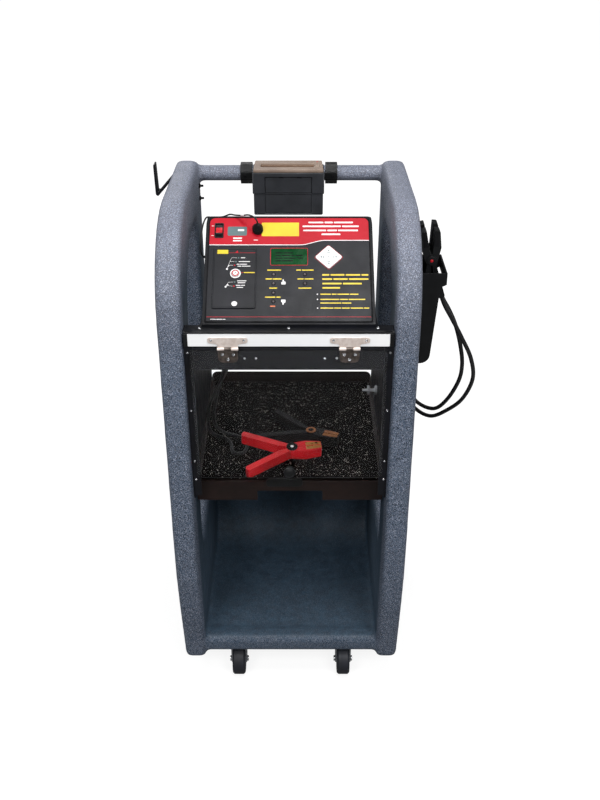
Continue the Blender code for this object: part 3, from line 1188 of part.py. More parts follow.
# ---- Leads, each a route chosen by hand ----

def leads():
    lead("test_lead_red", TEST_ROUTE_RED, TEST_LEAD_RADIUS)
    lead("test_lead_black", TEST_ROUTE_BLACK, TEST_LEAD_RADIUS)
    lead("charge_lead_red", CHARGE_ROUTE_RED, CHARGE_LEAD_RADIUS)
    lead("charge_lead_black", CHARGE_ROUTE_BLACK, CHARGE_LEAD_RADIUS)
    lead("data_lead", data_route(), DATA_LEAD_RADIUS)


TEST_ROUTE_RED = [
    (-0.117, -0.098, 0.9447), (-0.118, -0.098, 0.915), (-0.123, -0.097, 0.860), (-0.136, -0.093, 0.800),
    (-0.152, -0.087, 0.740), (-0.163, -0.080, 0.690), (-0.166, -0.073, 0.655), (-0.161, -0.067, 0.630),
    (-0.146, -0.065, 0.616), (-0.1257, -0.0711, 0.6136), (-0.1068, -0.0783, 0.6121)]
TEST_ROUTE_BLACK = [
    (-0.101, -0.106, 0.9447), (-0.103, -0.106, 0.915), (-0.111, -0.106, 0.860), (-0.130, -0.105, 0.800),
    (-0.156, -0.101, 0.745), (-0.172, -0.094, 0.700), (-0.178, -0.082, 0.660), (-0.178, -0.066, 0.628),
    (-0.173, -0.048, 0.602), (-0.161, -0.036, 0.5875), (-0.146, -0.040, 0.5846), (-0.135, -0.055, 0.5843),
    (-0.1305, -0.072, 0.5843), (-0.129, -0.087, 0.5843), (-0.1235, -0.0975, 0.5843), (-0.1135, -0.1010, 0.5843),
    (-0.1030, -0.0970, 0.5845), (-0.0975, -0.0860, 0.5850), (-0.0960, -0.0755, 0.5865),
    (-0.0925, -0.0665, 0.5900), (-0.0855, -0.0622, 0.5928), (-0.0708, -0.0595, 0.5934)]
CHARGE_ROUTE_RED = [
    (0.118, 0.0888, 0.985), (0.118, 0.103, 0.985), (0.122, 0.122, 0.966), (0.137, 0.131, 0.900),
    (0.155, 0.130, 0.820), (0.176, 0.126, 0.745), (0.203, 0.122, 0.698), (0.240, 0.112, 0.655),
    (0.270, 0.100, 0.615), (0.296, 0.083, 0.585), (0.326, 0.045, 0.590), (0.357, 0.015, 0.625),
    (0.384, -0.010, 0.670), (0.397, -0.035, 0.735), (0.385, -0.052, 0.795), (0.359, -0.063, 0.850),
    (0.334, -0.070, 0.897), (0.3180, -0.070, 0.925), (0.30766, -0.070, 0.94888)]
CHARGE_ROUTE_BLACK = [
    (0.142, 0.0888, 0.985), (0.142, 0.103, 0.985), (0.146, 0.124, 0.964), (0.160, 0.136, 0.900),
    (0.174, 0.137, 0.820), (0.190, 0.135, 0.755), (0.212, 0.131, 0.712), (0.246, 0.120, 0.672),
    (0.272, 0.102, 0.638), (0.296, 0.078, 0.608), (0.330, 0.042, 0.612), (0.354, 0.018, 0.650),
    (0.372, -0.006, 0.712), (0.373, -0.024, 0.765), (0.364, -0.029, 0.815), (0.350, -0.030, 0.862),
    (0.334, -0.030, 0.897), (0.3180, -0.030, 0.925), (0.30766, -0.030, 0.94888)]
# From the plug's tip, across the face; then behind the brow and down to the case's left side
OVER_FACE = [
    (0, 0, 0.0003), (-0.0005, 0.0017, 0.0089), (-0.0065, 0.0069, 0.0144), (-0.0165, 0.0149, 0.0099),
    (-0.0260, 0.0224, -0.0011), (-0.0360, 0.0294, -0.0121), (-0.0465, 0.0339, -0.0176)]
BEHIND_BROW = [
    (0.046, 0.0089, 0.0008), (0.033, 0.0209, -0.0080), (0.019, 0.0289, -0.0127), (0.006, 0.0289, -0.0126),
    (-0.0030, 0.0229, -0.0110), (-0.0085, 0.0110, -0.0190), (-0.0115, -0.0040, -0.0330), (-0.0125, -0.0191, -0.0485),
    (-0.0125, -0.0265, -0.0640), (-0.0085, -0.0281, -0.0748), (-0.0003, -0.0283, -0.0755)]


def data_route():
    plug = (PLUG_PLACE[0], PLUG_PLACE[1], OVERLAY_TOP + GAP + PLUG_LENGTH)
    brow = (-CASE_WIDTH / 2, CASE_BROW_Y, CASE_TOP_Z)
    return ([tuple(FACE_FRAME @ Vector([a + b for a, b in zip(plug, step)])) for step in OVER_FACE]
            + [tuple(a + b for a, b in zip(brow, step)) for step in BEHIND_BROW])


def main():
    clear_scene()
    cheek("left_cheek", -1)
    cheek("right_cheek", 1)
    base_pan()
    handle_bar()
    caster("left", -CASTER_SPACING / 2)
    caster("right", CASTER_SPACING / 2)
    rear_axle()
    rear_wheel("left", -1)
    rear_wheel("right", 1)
    charger_shelf()
    shelf_trim()
    bay_side("left", -1)
    bay_side("right", 1)
    tray()
    tray_mat()
    bay_door()
    hinge("left", HINGE_OFFSET_X - HINGE_SPACING / 2)
    hinge("right", HINGE_OFFSET_X + HINGE_SPACING / 2)
    console_case()
    face_panel()
    rocker_switch()
    keypad()
    tester_panel()
    data_plug()
    rear_cover()
    mains_inlet()
    cooling_fan()
    transformer()
    control_board()
    printer()
    printer_mounting()
    cable_hook()
    holster()
    clamps()
    leads()


main()
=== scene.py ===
import json
from math import ceil, cos, degrees, pi, radians, sin, tan

import bpy
from mathutils import Matrix, Vector

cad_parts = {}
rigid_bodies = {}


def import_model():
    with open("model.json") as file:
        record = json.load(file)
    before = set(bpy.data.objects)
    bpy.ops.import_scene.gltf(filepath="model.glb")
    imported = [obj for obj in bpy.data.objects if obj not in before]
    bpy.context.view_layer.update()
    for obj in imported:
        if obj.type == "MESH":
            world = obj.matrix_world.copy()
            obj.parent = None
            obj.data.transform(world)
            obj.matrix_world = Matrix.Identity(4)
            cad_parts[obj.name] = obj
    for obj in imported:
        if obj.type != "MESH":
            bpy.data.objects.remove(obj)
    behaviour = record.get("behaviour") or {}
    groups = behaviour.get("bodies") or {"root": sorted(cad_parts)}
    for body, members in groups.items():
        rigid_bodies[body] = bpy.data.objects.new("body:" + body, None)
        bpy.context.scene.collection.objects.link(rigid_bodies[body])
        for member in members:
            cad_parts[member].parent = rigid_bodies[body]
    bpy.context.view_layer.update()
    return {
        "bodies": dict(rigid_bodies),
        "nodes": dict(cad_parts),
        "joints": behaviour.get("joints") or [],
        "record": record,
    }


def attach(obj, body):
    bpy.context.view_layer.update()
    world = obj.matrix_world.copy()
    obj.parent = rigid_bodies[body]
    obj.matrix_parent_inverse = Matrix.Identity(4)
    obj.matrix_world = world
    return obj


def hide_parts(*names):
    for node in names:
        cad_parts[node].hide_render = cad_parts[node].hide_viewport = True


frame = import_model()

nodes = frame["nodes"]
bodyOf = {node: body for body, members in frame["record"]["behaviour"]["bodies"].items() for node in members}

unturned = Matrix.Identity(4)


# Working helpers

def pick(*pieces):
    bpy.ops.object.select_all(action="DESELECT")
    for piece in pieces:
        piece.select_set(True)
    bpy.context.view_layer.objects.active = pieces[0]


def editAll(piece, kind="FACE"):
    pick(piece)
    bpy.ops.object.mode_set(mode="EDIT")
    bpy.ops.mesh.select_mode(type=kind)
    bpy.ops.mesh.select_all(action="SELECT")


def leaveEdit():
    bpy.ops.object.mode_set(mode="OBJECT")


def closeUp(piece):
    editAll(piece, "VERT")
    bpy.ops.mesh.remove_doubles(threshold=0.00002)
    bpy.ops.mesh.normals_make_consistent(inside=False)
    leaveEdit()


def applyAll(piece):
    pick(piece)
    for modifier in list(piece.modifiers):
        bpy.ops.object.modifier_apply(modifier=modifier.name)


def softEdges(piece, width, angle):
    bevel = piece.modifiers.new("softEdges", "BEVEL")
    bevel.width = width
    bevel.segments = 2
    bevel.limit_method = "ANGLE"
    bevel.angle_limit = radians(angle)
    applyAll(piece)


def smoothShade(piece, angle=40):
    # soft edges shade smoothly while the broad faces stay flat
    pick(piece)
    bpy.ops.object.shade_smooth_by_angle(angle=radians(angle))
    even = piece.modifiers.new("evenFaces", "WEIGHTED_NORMAL")
    even.keep_sharp = True
    even.weight = 100
    bpy.ops.object.modifier_apply(modifier=even.name)


def newObject(name, data):
    piece = bpy.data.objects.new(name, data)
    bpy.context.scene.collection.objects.link(piece)
    return piece


def dress(piece, finish):
    piece.data.materials.clear()
    piece.data.materials.append(finishes[finish])
    return piece


def copyOf(master, name, place):
    piece = master.copy()
    piece.data = master.data.copy()
    piece.name = name
    bpy.context.scene.collection.objects.link(piece)
    piece.data.transform(place)
    return piece


def joinUp(name, parts):
    pick(*parts)
    if len(parts) > 1:
        bpy.ops.object.join()
    piece = bpy.context.object
    piece.name = name
    piece.data.name = name
    return piece


def cadCopy(name, *wanted):
    # a merged copy of CAD nodes, free to be shaped
    parts = []
    for node in wanted:
        piece = nodes[node].copy()
        piece.data = nodes[node].data.copy()
        piece.parent = None
        piece.matrix_world = unturned
        for key in list(piece.keys()):
            del piece[key]
        piece.hide_render = piece.hide_viewport = False
        bpy.context.scene.collection.objects.link(piece)
        parts.append(piece)
    piece = joinUp(name, parts)
    editAll(piece, "VERT")
    bpy.ops.mesh.remove_doubles(threshold=0.00001)
    leaveEdit()
    return piece


def roundedLoop(corners, step=15):
    # points round a closed shape whose corners (x, y, radius) are rounded
    points = []
    for index, (x, y, radius) in enumerate(corners):
        here = Vector((x, y))
        before = Vector(corners[index - 1][:2]) - here
        after = Vector(corners[(index + 1) % len(corners)][:2]) - here
        turn = pi - before.angle(after)
        reach = min(radius * tan(turn / 2), 0.49 * before.length, 0.49 * after.length)
        if radius <= 0 or turn < 0.0001:
            points.append((x, y))
            continue
        start = here + before.normalized() * reach
        end = here + after.normalized() * reach
        count = max(2, ceil(degrees(turn) / step))
        for number in range(count + 1):
            t = number / count
            points.append(tuple(start * (1 - t) ** 2 + here * 2 * t * (1 - t) + end * t ** 2))
    return points


def roundedBox(x, y, wide, high, radius=0.0):
    corners = ((-1, -1), (1, -1), (1, 1), (-1, 1))
    return roundedLoop([(x + a * wide / 2, y + b * high / 2, radius) for a, b in corners])


def ring(x, y, radius, sides=24):
    return [(x + radius * cos(2 * pi * i / sides), y + radius * sin(2 * pi * i / sides))
            for i in range(sides)]


def cutOut(name, outlines, low, high, place, finish, edge=0.0):
    # a flat piece cut to its outline, the later outlines being holes
    drawing = bpy.data.curves.new(name, "CURVE")
    drawing.dimensions = "2D"
    drawing.fill_mode = "BOTH"
    for number, outline in enumerate(outlines):
        area = sum(a[0] * b[1] - b[0] * a[1] for a, b in zip(outline, outline[1:] + outline[:1]))
        if (area < 0) != (number > 0):
            outline = list(reversed(outline))
        spline = drawing.splines.new("POLY")
        spline.points.add(len(outline) - 1)
        spline.use_cyclic_u = True
        for point, (x, y) in zip(spline.points, outline):
            point.co = (x, y, 0, 1)
    drawing.extrude = (high - low) / 2 - edge
    drawing.bevel_depth = edge
    drawing.bevel_resolution = 1
    drawing.offset = -edge
    pick(newObject(name, drawing))
    bpy.ops.object.convert(target="MESH")
    piece = bpy.context.object
    closeUp(piece)
    piece.data.transform(place @ Matrix.Translation((0, 0, (low + high) / 2)))
    return dress(piece, finish)


def lathe(name, profile, place, finish, steps=32):
    # a turned piece: the profile (radius, height) spun about its axis
    mesh = bpy.data.meshes.new(name)
    mesh.from_pydata([(radius, 0, height) for radius, height in profile],
                     [(i, i + 1) for i in range(len(profile) - 1)], [])
    piece = newObject(name, mesh)
    editAll(piece, "VERT")
    bpy.ops.mesh.spin(steps=steps, angle=2 * pi, center=(0, 0, 0), axis=(0, 0, 1))
    leaveEdit()
    closeUp(piece)
    piece.data.transform(place)
    smoothShade(piece)
    return dress(piece, finish)


def shown(piece, body):
    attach(piece, body)


def turned(angle, axis):
    return Matrix.Rotation(radians(angle), 4, axis)


def facing(x, y, z, direction):
    # a place whose own z looks along the direction
    return Matrix.Translation((x, y, z)) @ Vector(direction).to_track_quat("Z", "Y").to_matrix().to_4x4()


# Nodes of the finishes

def paint(code):
    parts = [int(code[i:i + 2], 16) / 255 for i in (0, 2, 4)]
    return tuple(v / 12.92 if v <= 0.04045 else ((v + 0.055) / 1.055) ** 2.4 for v in parts) + (1,)


def feed(node, inputs):
    # each input is a plain value or another node's output
    for name, value in inputs.items():
        if isinstance(value, bpy.types.NodeSocket):
            node.id_data.links.new(value, node.inputs[name])
        else:
            node.inputs[name].default_value = value


def addNode(tree, kind, inputs, **settings):
    node = tree.nodes.new("ShaderNode" + kind)
    for name, value in settings.items():
        setattr(node, name, value)
    feed(node, inputs)
    return node.outputs


def newFinish(name):
    finish = bpy.data.materials.new(name)
    finish.use_nodes = True
    tree = finish.node_tree
    return finish, tree, tree.nodes["Principled BSDF"], addNode(tree, "TexCoord", {})["Object"]


def addMath(tree, operation, *values):
    return addNode(tree, "Math", dict(enumerate(values)), operation=operation)[0]


def addNoise(tree, place, scale, detail, rough=0.55):
    return addNode(tree, "TexNoise", {"Vector": place, "Scale": scale, "Detail": detail, "Roughness": rough})["Fac"]


def addRamp(tree, value, stops):
    ramp = tree.nodes.new("ShaderNodeValToRGB")
    for mark, (position, code) in zip(ramp.color_ramp.elements, stops):
        mark.position = position
        mark.color = paint(code)
    feed(ramp, {"Fac": value})
    return ramp.outputs["Color"]


def addRange(tree, value, fromLow, fromHigh, low, high):
    return addNode(tree, "MapRange", {"Value": value, "From Min": fromLow, "From Max": fromHigh,
                                      "To Min": low, "To Max": high})["Result"]


def addMix(tree, factor, first, second):
    return addNode(tree, "Mix", {0: factor, 6: first, 7: second}, data_type="RGBA")[2]


def addBump(tree, height, strength, distance):
    return addNode(tree, "Bump", {"Height": height, "Strength": strength, "Distance": distance})["Normal"]


# Camera, floor and lights

studio = {
    "cameraPlace": (0.0214, -1.8305, 1.76),
    "cameraPitch": 59,
    "lens": 42.75,
    "floorColour": "7c7c7c",
    "roomLight": 0.045,
    "glossShare": 0.08,
    "floorGlow": 0.86,
    "glowFade": (0.5, 2.6),
    "lamps": [("topLamp", (0.3, -1.1, 4.4), 1.0, 70), ("rightLamp", (1.2, -2.4, 2.8), 1.2, 50),
              ("leftLamp", (-1.2, -2.4, 2.8), 1.2, 50), ("rearLamp", (-0.8, 2.4, 2.6), 1.4, 26),
              ("rightFill", (2.8, 0.7, 1.9), 1.2, 20), ("leftFill", (-2.8, 0.7, 1.9), 1.2, 20)],
}


def setCamera():
    camera = newObject("studioCamera", bpy.data.cameras.new("studioCamera"))
    camera.data.lens = studio["lens"]
    camera.data.sensor_width = 36
    camera.data.clip_end = 100
    camera.location = studio["cameraPlace"]
    camera.rotation_euler = (radians(studio["cameraPitch"]), 0, 0)
    bpy.context.scene.camera = camera


def seenWhite(tree):
    # 1 for rays that see the backdrop directly or through the door, little for gloss,
    # and nothing for the light on the things seen, so that the bay stays as dim as the room
    ray = addNode(tree, "LightPath", {})
    gloss = addMath(tree, "MULTIPLY", ray["Is Glossy Ray"], studio["glossShare"])
    direct = addMath(tree, "MAXIMUM", ray["Is Camera Ray"], ray["Is Transmission Ray"])
    seen = addMath(tree, "LESS_THAN", ray["Diffuse Depth"], 0.5)
    return addMath(tree, "MULTIPLY", addMath(tree, "MAXIMUM", direct, gloss), seen)


def setStage():
    bpy.context.scene.view_settings.view_transform = "Standard"
    world = bpy.data.worlds.new("studioRoom")
    bpy.context.scene.world = world
    world.use_nodes = True
    tree = world.node_tree
    feed(tree.nodes["Background"], {"Color": (1, 1, 1, 1), "Strength": addRange(
        tree, seenWhite(tree), 0, 1, studio["roomLight"], 1)})

    bpy.ops.mesh.primitive_plane_add(size=60, location=(0, 0, 0))
    floor = bpy.context.object
    floor.name = "studioFloor"
    finish, tree, shader, place = newFinish("studioFloor")
    reach = addNode(tree, "VectorMath", {0: place}, operation="LENGTH")["Value"]
    fade = addRange(tree, reach, *studio["glowFade"], studio["floorGlow"], 1)
    feed(shader, {"Base Color": paint(studio["floorColour"]), "Roughness": 0.9, "Emission Color": (1, 1, 1, 1),
                  "Emission Strength": addMath(tree, "MULTIPLY", seenWhite(tree), fade)})
    floor.data.materials.append(finish)

    target = Vector((0, 0, 0.75))
    for name, place, size, power in studio["lamps"]:
        light = bpy.data.lights.new(name, "AREA")
        light.size = size
        light.energy = power
        lamp = newObject(name, light)
        lamp.location = place
        lamp.rotation_euler = (target - Vector(place)).to_track_quat("-Z", "Y").to_euler()


setCamera()
setStage()
print("camera, floor and lights are set")


# Finishes

def edgeMask(tree, place):
    # corners that hands and tools have rubbed, in patches
    rounded = addNode(tree, "Bevel", {"Radius": 0.0009}, samples=4)["Normal"]
    sharp = addNode(tree, "NewGeometry", {})["Normal"]
    match = addNode(tree, "VectorMath", {0: rounded, 1: sharp}, operation="DOT_PRODUCT")["Value"]
    patches = addRange(tree, addNoise(tree, place, 90, 3), 0.46, 0.62, 0, 0.8)
    return addMath(tree, "MULTIPLY", addRange(tree, match, 0.985, 0.9, 0, 1), patches)


def makeFinish(name, look):
    finish, tree, shader, place = newFinish(name)
    mottle = addNoise(tree, place, look.get("mottleScale", 22), 4)
    colour = addRamp(tree, mottle, [(0.36, look["dark"]), (0.64, look["light"])])
    grain = addNoise(tree, place, look.get("grainScale", 1400), 2)
    if "fleck" in look:
        grains = addNode(tree, "TexVoronoi", {"Vector": place, "Scale": look["fleckScale"]})
        share = addRange(tree, grains["Distance"], look["fleckSize"], look["fleckSize"] * 0.6, 0, 1)
        chosen = addRange(tree, grains["Color"], 0.66, 0.68, 0, 1)
        colour = addMix(tree, addMath(tree, "MULTIPLY", share, chosen), colour, paint(look["fleck"]))
    if "worn" in look:
        colour = addMix(tree, edgeMask(tree, place), colour, paint(look["worn"]))
    smear = addNoise(tree, place, 35, 5)
    feed(shader, {"Base Color": colour, "Roughness": addRange(tree, smear, 0.3, 0.7, *look["rough"]),
                  "Normal": addBump(tree, grain, look["bump"], look.get("bumpDepth", 0.0002)),
                  "Metallic": look.get("metal", 0), "Specular IOR Level": look.get("gloss", 0.5)})
    return finish


def tone(dark, light, low, high, bump, **more):
    return {"dark": dark, "light": light, "rough": (low, high), "bump": bump, **more}


looks = {
    "blackPlastic": tone("0e0f10", "151618", 0.36, 0.54, 0.25, worn="2c2d30", gloss=0.25),
    "blackSheet": tone("0c0d10", "13141a", 0.38, 0.52, 0.4, bumpDepth=0.0003, grainScale=700, worn="26272a",
        gloss=0.2),
    "brownSheet": tone("180e0c", "221512", 0.4, 0.56, 0.35, worn="3a302c", grainScale=700, gloss=0.25),
    "whiteTrim": tone("f4f5f7", "fdfdfe", 0.3, 0.42, 0.05, mottleScale=9),
    "hingeSteel": tone("d9c9c0", "efe3dc", 0.34, 0.5, 0.12, metal=0.35, grainScale=500, mottleScale=90),
    "hingeBrown": tone("463e3a", "6c625c", 0.32, 0.48, 0.15, metal=0.7, grainScale=500, mottleScale=110),
    "brightSteel": tone("b4b6b9", "dcdde0", 0.16, 0.3, 0.05, metal=1.0),
    "casterSteel": tone("8d9094", "b2b4b8", 0.3, 0.48, 0.2, metal=1.0, grainScale=420, mottleScale=130),
    "wheelRubber": tone("11131a", "1a1d27", 0.55, 0.75, 0.3, worn="3b3d42", grainScale=600),
    "matRubber": tone("0b0808", "130d0d", 0.7, 0.9, 0.6, bumpDepth=0.0006, grainScale=520, fleck="d6d0c9",
        fleckScale=250, fleckSize=0.26, gloss=0.04),
    "panelInk": tone("1b1c20", "232429", 0.34, 0.46, 0.12, grainScale=1800, gloss=0.2),
    "redInk": tone("b01122", "bd182a", 0.3, 0.42, 0.08, grainScale=1800, gloss=0.2),
    "whiteInk": tone("e6e3e4", "f3f1f2", 0.35, 0.45, 0.05),
    "yellowInk": tone("d9bd10", "e6cb1c", 0.32, 0.44, 0.06),
    "tealInk": tone("4a6265", "587073", 0.3, 0.42, 0.06),
    "keyWhite": tone("e9e6e7", "f4f2f2", 0.4, 0.52, 0.12),
    "redPlastic": tone("b80d1a", "d01a27", 0.3, 0.48, 0.18, worn="e8606a", gloss=0.3),
    "clampRed": tone("d8101c", "ee1c29", 0.3, 0.48, 0.18, worn="ef6a72", gloss=0.3),
    "tanPlastic": tone("7a685c", "8f7c6e", 0.42, 0.56, 0.22, worn="e0c8b2"),
    "printerGrey": tone("212327", "292b30", 0.45, 0.58, 0.35, worn="53565c", grainScale=900),
    "copperWinding": tone("8a4a22", "b8692f", 0.3, 0.45, 0.4, metal=0.9, grainScale=420),
    "boardGreen": tone("0d4a22", "16622f", 0.3, 0.45, 0.2, grainScale=500),
    "leadRubber": tone("0d0d0f", "151517", 0.38, 0.55, 0.15, worn="2c2c2f"),
    "brass": tone("a9773a", "d3a45c", 0.25, 0.42, 0.2, metal=1.0, grainScale=500),
    # painted shade: a darker tan for the printer lid's sunk bed, standing for the shade in the recess
    "tanPaintedShade": tone("6b503d", "7d604b", 0.5, 0.65, 0.2),
    "bareCopper": tone("7a4a2c", "a06a42", 0.35, 0.55, 0.25, metal=0.9, grainScale=500),
    "wheelHub": tone("565a63", "6a6e78", 0.45, 0.6, 0.25, grainScale=700),
    "dullBlack": tone("0a0a0c", "101013", 0.6, 0.8, 0.2, gloss=0.15),
    "darkGrip": tone("0b0a0b", "121011", 0.5, 0.68, 0.3, worn="242224", gloss=0.15, grainScale=800),
    "orangeInk": tone("e0703a", "ee8048", 0.35, 0.45, 0.05),
    "studNylon": tone("b9bcc2", "d8dade", 0.35, 0.5, 0.1),
    "lampDark": tone("575053", "6a6264", 0.12, 0.22, 0.02),
}


def cartPlastic():
    # speckled moulding: a blue-grey ground with dark and pale grains, and a pebbled skin
    finish, tree, shader, place = newFinish("cartPlastic")
    ground = addRamp(tree, addNoise(tree, place, 14, 4), [(0.3, "3d4c60"), (0.7, "4e5c70")])
    grains = addRange(tree, addNoise(tree, place, 330, 2, 0.6), 0.48, 0.6, 0, 0.9)
    fine = addRange(tree, addNoise(tree, place, 620, 1, 0.5), 0.54, 0.64, 0, 0.85)
    spotted = addMix(tree, fine, addMix(tree, grains, ground, paint("141f2c")), paint("a6acbc"))
    # painted shade: the pan and the inner faces are painted darker, as if shaded under the tray, and a painted
    # highlight pales the top
    axes = addNode(tree, "SeparateXYZ", {0: place})
    inside = addRange(tree, addMath(tree, "ABSOLUTE", axes["X"]), 0.2125, 0.201, 0, 1)
    for axis, *span in (("Y", -0.212, -0.194, 0, 1), ("Y", 0.221, 0.209, 0, 1), ("Z", 1.09, 0.98, 0, 0.86)):
        inside = addMath(tree, "MULTIPLY", inside, addRange(tree, axes[axis], *span))
    # painted shade colour for the pan and the inner faces, with a noisy mottle
    paintedShadeColour = addRamp(tree, addNoise(tree, place, 60, 6, 0.7), [(0.35, "162a39"), (0.72, "2c4557")])
    # painted highlight: higher up the colour is painted paler and pinker, as if lit by warm light from above
    paintedToplight = addMix(tree, addRange(tree, axes["Z"], 0.86, 1.13, 0, 0.2), spotted, paint("bfbcc8"))
    feed(shader, {"Base Color": addMix(tree, inside, paintedToplight, paintedShadeColour),
                  "Roughness": addRange(tree, addNoise(tree, place, 30, 4), 0.3, 0.7, 0.55, 0.75),
                  "Normal": addBump(tree, addNoise(tree, place, 330, 3), 0.35, 0.0006)})
    return finish


def clearPlastic():
    finish, tree, shader, place = newFinish("clearPlastic")
    scuffs = addRange(tree, addNoise(tree, place, 40, 5), 0.66, 0.85, 0, 0.015)
    feed(shader, {"Base Color": (0.97, 0.98, 0.985, 1), "Transmission Weight": 1, "IOR": 1.15, "Roughness": scuffs})
    return finish


def displayGreen():
    finish, tree, shader, place = newFinish("displayGreen")
    feed(shader, {"Base Color": addRamp(tree, addNoise(tree, place, 25, 3), [(0.3, "063a1a"), (0.7, "084821")]),
                  "Roughness": addRange(tree, addNoise(tree, place, 50, 4), 0.3, 0.7, 0.12, 0.25),
                  "Specular IOR Level": 0.2})
    return finish


finishes = {name: makeFinish(name, look) for name, look in looks.items()}
finishes["cartPlastic"] = cartPlastic()
finishes["clearPlastic"] = clearPlastic()
finishes["displayGreen"] = displayGreen()


def named(line):
    # CAD nodes out of one line: * stands for left and right, + for upper and lower
    ends = {"*": ("left", "right"), "+": ("upper", "lower")}
    for word in line.split():
        yield from [word[:-1] + end for end in ends[word[-1]]] if word[-1] in ends else [word]


# the finish of each CAD node, also where a softened copy stands for it
nodeFinishes = {
    "blackSheet": "charger_shelf bay_side_* cable_hook charger_case rear_cover",
    "brownSheet": "tray",
    "matRubber": "tray_mat",
    "whiteTrim": "shelf_trim",
    "hingeSteel": "hinge_leaf_*",
    "hingeBrown": "door_leaf_*",
    "clearPlastic": "door_panel",
    "panelInk": "face_panel tester_panel",
    "displayGreen": "lcd_window",
    "keyWhite": "keypad ring_button",
    "redPlastic": "rocker",
    "clampRed": "red_test_clamp_+",
    "tanPlastic": "printer_top feed_button",
    "printerGrey": "printer_body",
    "copperWinding": "transformer",
    "boardGreen": "control_board",
    "casterSteel": "caster_plate_* caster_fork_* rear_axle",
    "wheelRubber": "front_wheel_* rear_wheel_*",
    "blackPlastic": "door_knob data_plug mains_inlet fan_frame fan_rotor printer_cradle bar_clamp_* holster"
                    " black_charge_clamp_+ red_charge_clamp_+",
    "darkGrip": "black_test_clamp_+",
}
finishOf = {node: finish for finish, line in nodeFinishes.items() for node in named(line)}
for node, finish in finishOf.items():
    dress(nodes[node], finish)
print("finishes are mixed")


# Leads, along the routes of the solids that they stand for

faceFrame = Matrix.Translation((0, -0.205, 0.9513)) @ turned(35.4, "X")
brow = faceFrame @ Vector((0, 0.2455, 0))
# middles of the parts on the face, across it and up it
rockerSpot, plugSpot, keypadSpot, buttonSpot = (-0.1395, 0.21), (-0.0625, 0.2101), (0.0778, 0.1483), (-0.1045, 0.1098)
leads = {
    "testLeadRed": {"node": "test_lead_red", "radius": 0.0035, "route": [
        (-0.117, -0.098, 0.9447), (-0.118, -0.098, 0.915), (-0.123, -0.097, 0.86), (-0.136, -0.093, 0.8),
        (-0.152, -0.087, 0.74), (-0.163, -0.08, 0.69), (-0.166, -0.073, 0.655), (-0.161, -0.067, 0.63),
        (-0.146, -0.065, 0.616), (-0.1257, -0.0711, 0.6136), (-0.1068, -0.0783, 0.6121)]},
    "testLeadBlack": {"node": "test_lead_black", "radius": 0.0035, "route": [
        (-0.101, -0.106, 0.9447), (-0.103, -0.106, 0.915), (-0.111, -0.106, 0.86), (-0.13, -0.105, 0.8),
        (-0.156, -0.101, 0.745), (-0.172, -0.094, 0.7), (-0.178, -0.082, 0.66), (-0.178, -0.066, 0.628),
        (-0.173, -0.048, 0.602), (-0.161, -0.036, 0.5875), (-0.146, -0.04, 0.5846), (-0.135, -0.055, 0.5843),
        (-0.1305, -0.072, 0.5843), (-0.129, -0.087, 0.5843), (-0.1235, -0.0975, 0.5843), (-0.1135, -0.101, 0.5843),
        (-0.103, -0.097, 0.5845), (-0.0975, -0.086, 0.585), (-0.096, -0.0755, 0.5865), (-0.0925, -0.0665, 0.59),
        (-0.0855, -0.0622, 0.5928), (-0.0708, -0.0595, 0.5934)]},
    "chargeLeadRed": {"node": "charge_lead_red", "radius": 0.0045, "route": [
        (0.118, 0.0888, 0.985), (0.118, 0.103, 0.985), (0.122, 0.122, 0.966), (0.137, 0.131, 0.9), (0.155, 0.13, 0.82),
        (0.176, 0.126, 0.745), (0.203, 0.122, 0.698), (0.24, 0.112, 0.655), (0.27, 0.1, 0.615), (0.296, 0.083, 0.585),
        (0.326, 0.045, 0.59), (0.357, 0.015, 0.625), (0.384, -0.01, 0.67), (0.397, -0.035, 0.735),
        (0.385, -0.052, 0.795), (0.359, -0.063, 0.85), (0.334, -0.07, 0.897), (0.318, -0.07, 0.925),
        (0.30766, -0.07, 0.94888)]},
    "chargeLeadBlack": {"node": "charge_lead_black", "radius": 0.0045, "route": [
        (0.142, 0.0888, 0.985), (0.142, 0.103, 0.985), (0.146, 0.124, 0.964), (0.16, 0.136, 0.9), (0.174, 0.137, 0.82),
        (0.19, 0.135, 0.755), (0.212, 0.131, 0.712), (0.246, 0.12, 0.672), (0.272, 0.102, 0.638),
        (0.296, 0.078, 0.608), (0.33, 0.042, 0.612), (0.354, 0.018, 0.65), (0.372, -0.006, 0.712),
        (0.373, -0.024, 0.765), (0.364, -0.029, 0.815), (0.35, -0.03, 0.862), (0.334, -0.03, 0.897),
        (0.318, -0.03, 0.925), (0.30766, -0.03, 0.94888)]},
    "dataLead": {"node": "data_lead", "radius": 0.0016, "route": [
        tuple(faceFrame @ Vector((plugSpot[0] + x, plugSpot[1] + s, 0.0241 + n))) for x, s, n in (
            (0, 0, 0.0003), (-0.0005, 0.0017, 0.0089), (-0.0065, 0.0069, 0.0144), (-0.0165, 0.0149, 0.0099),
            (-0.026, 0.0224, -0.0011), (-0.036, 0.0294, -0.0121), (-0.0465, 0.0339, -0.0176))] + [
        (-0.166 + x, brow[1] + y, brow[2] + z) for x, y, z in (
            (0.046, 0.0089, 0.0008), (0.033, 0.0209, -0.008), (0.019, 0.0289, -0.0127), (0.006, 0.0289, -0.0126),
            (-0.003, 0.0229, -0.011), (-0.0085, 0.011, -0.019), (-0.0115, -0.004, -0.033),
            (-0.0125, -0.0191, -0.0485), (-0.0125, -0.0265, -0.064), (-0.0085, -0.0281, -0.0748),
            (-0.0003, -0.0283, -0.0755))]},
}


def neighbours(points, index):
    # the points before and after one, mirrored past the lead's ends
    last = len(points) - 1
    return (points[index - 1] if index else 2 * points[0] - points[1],
            points[index + 1] if index < last else 2 * points[last] - points[last - 1])


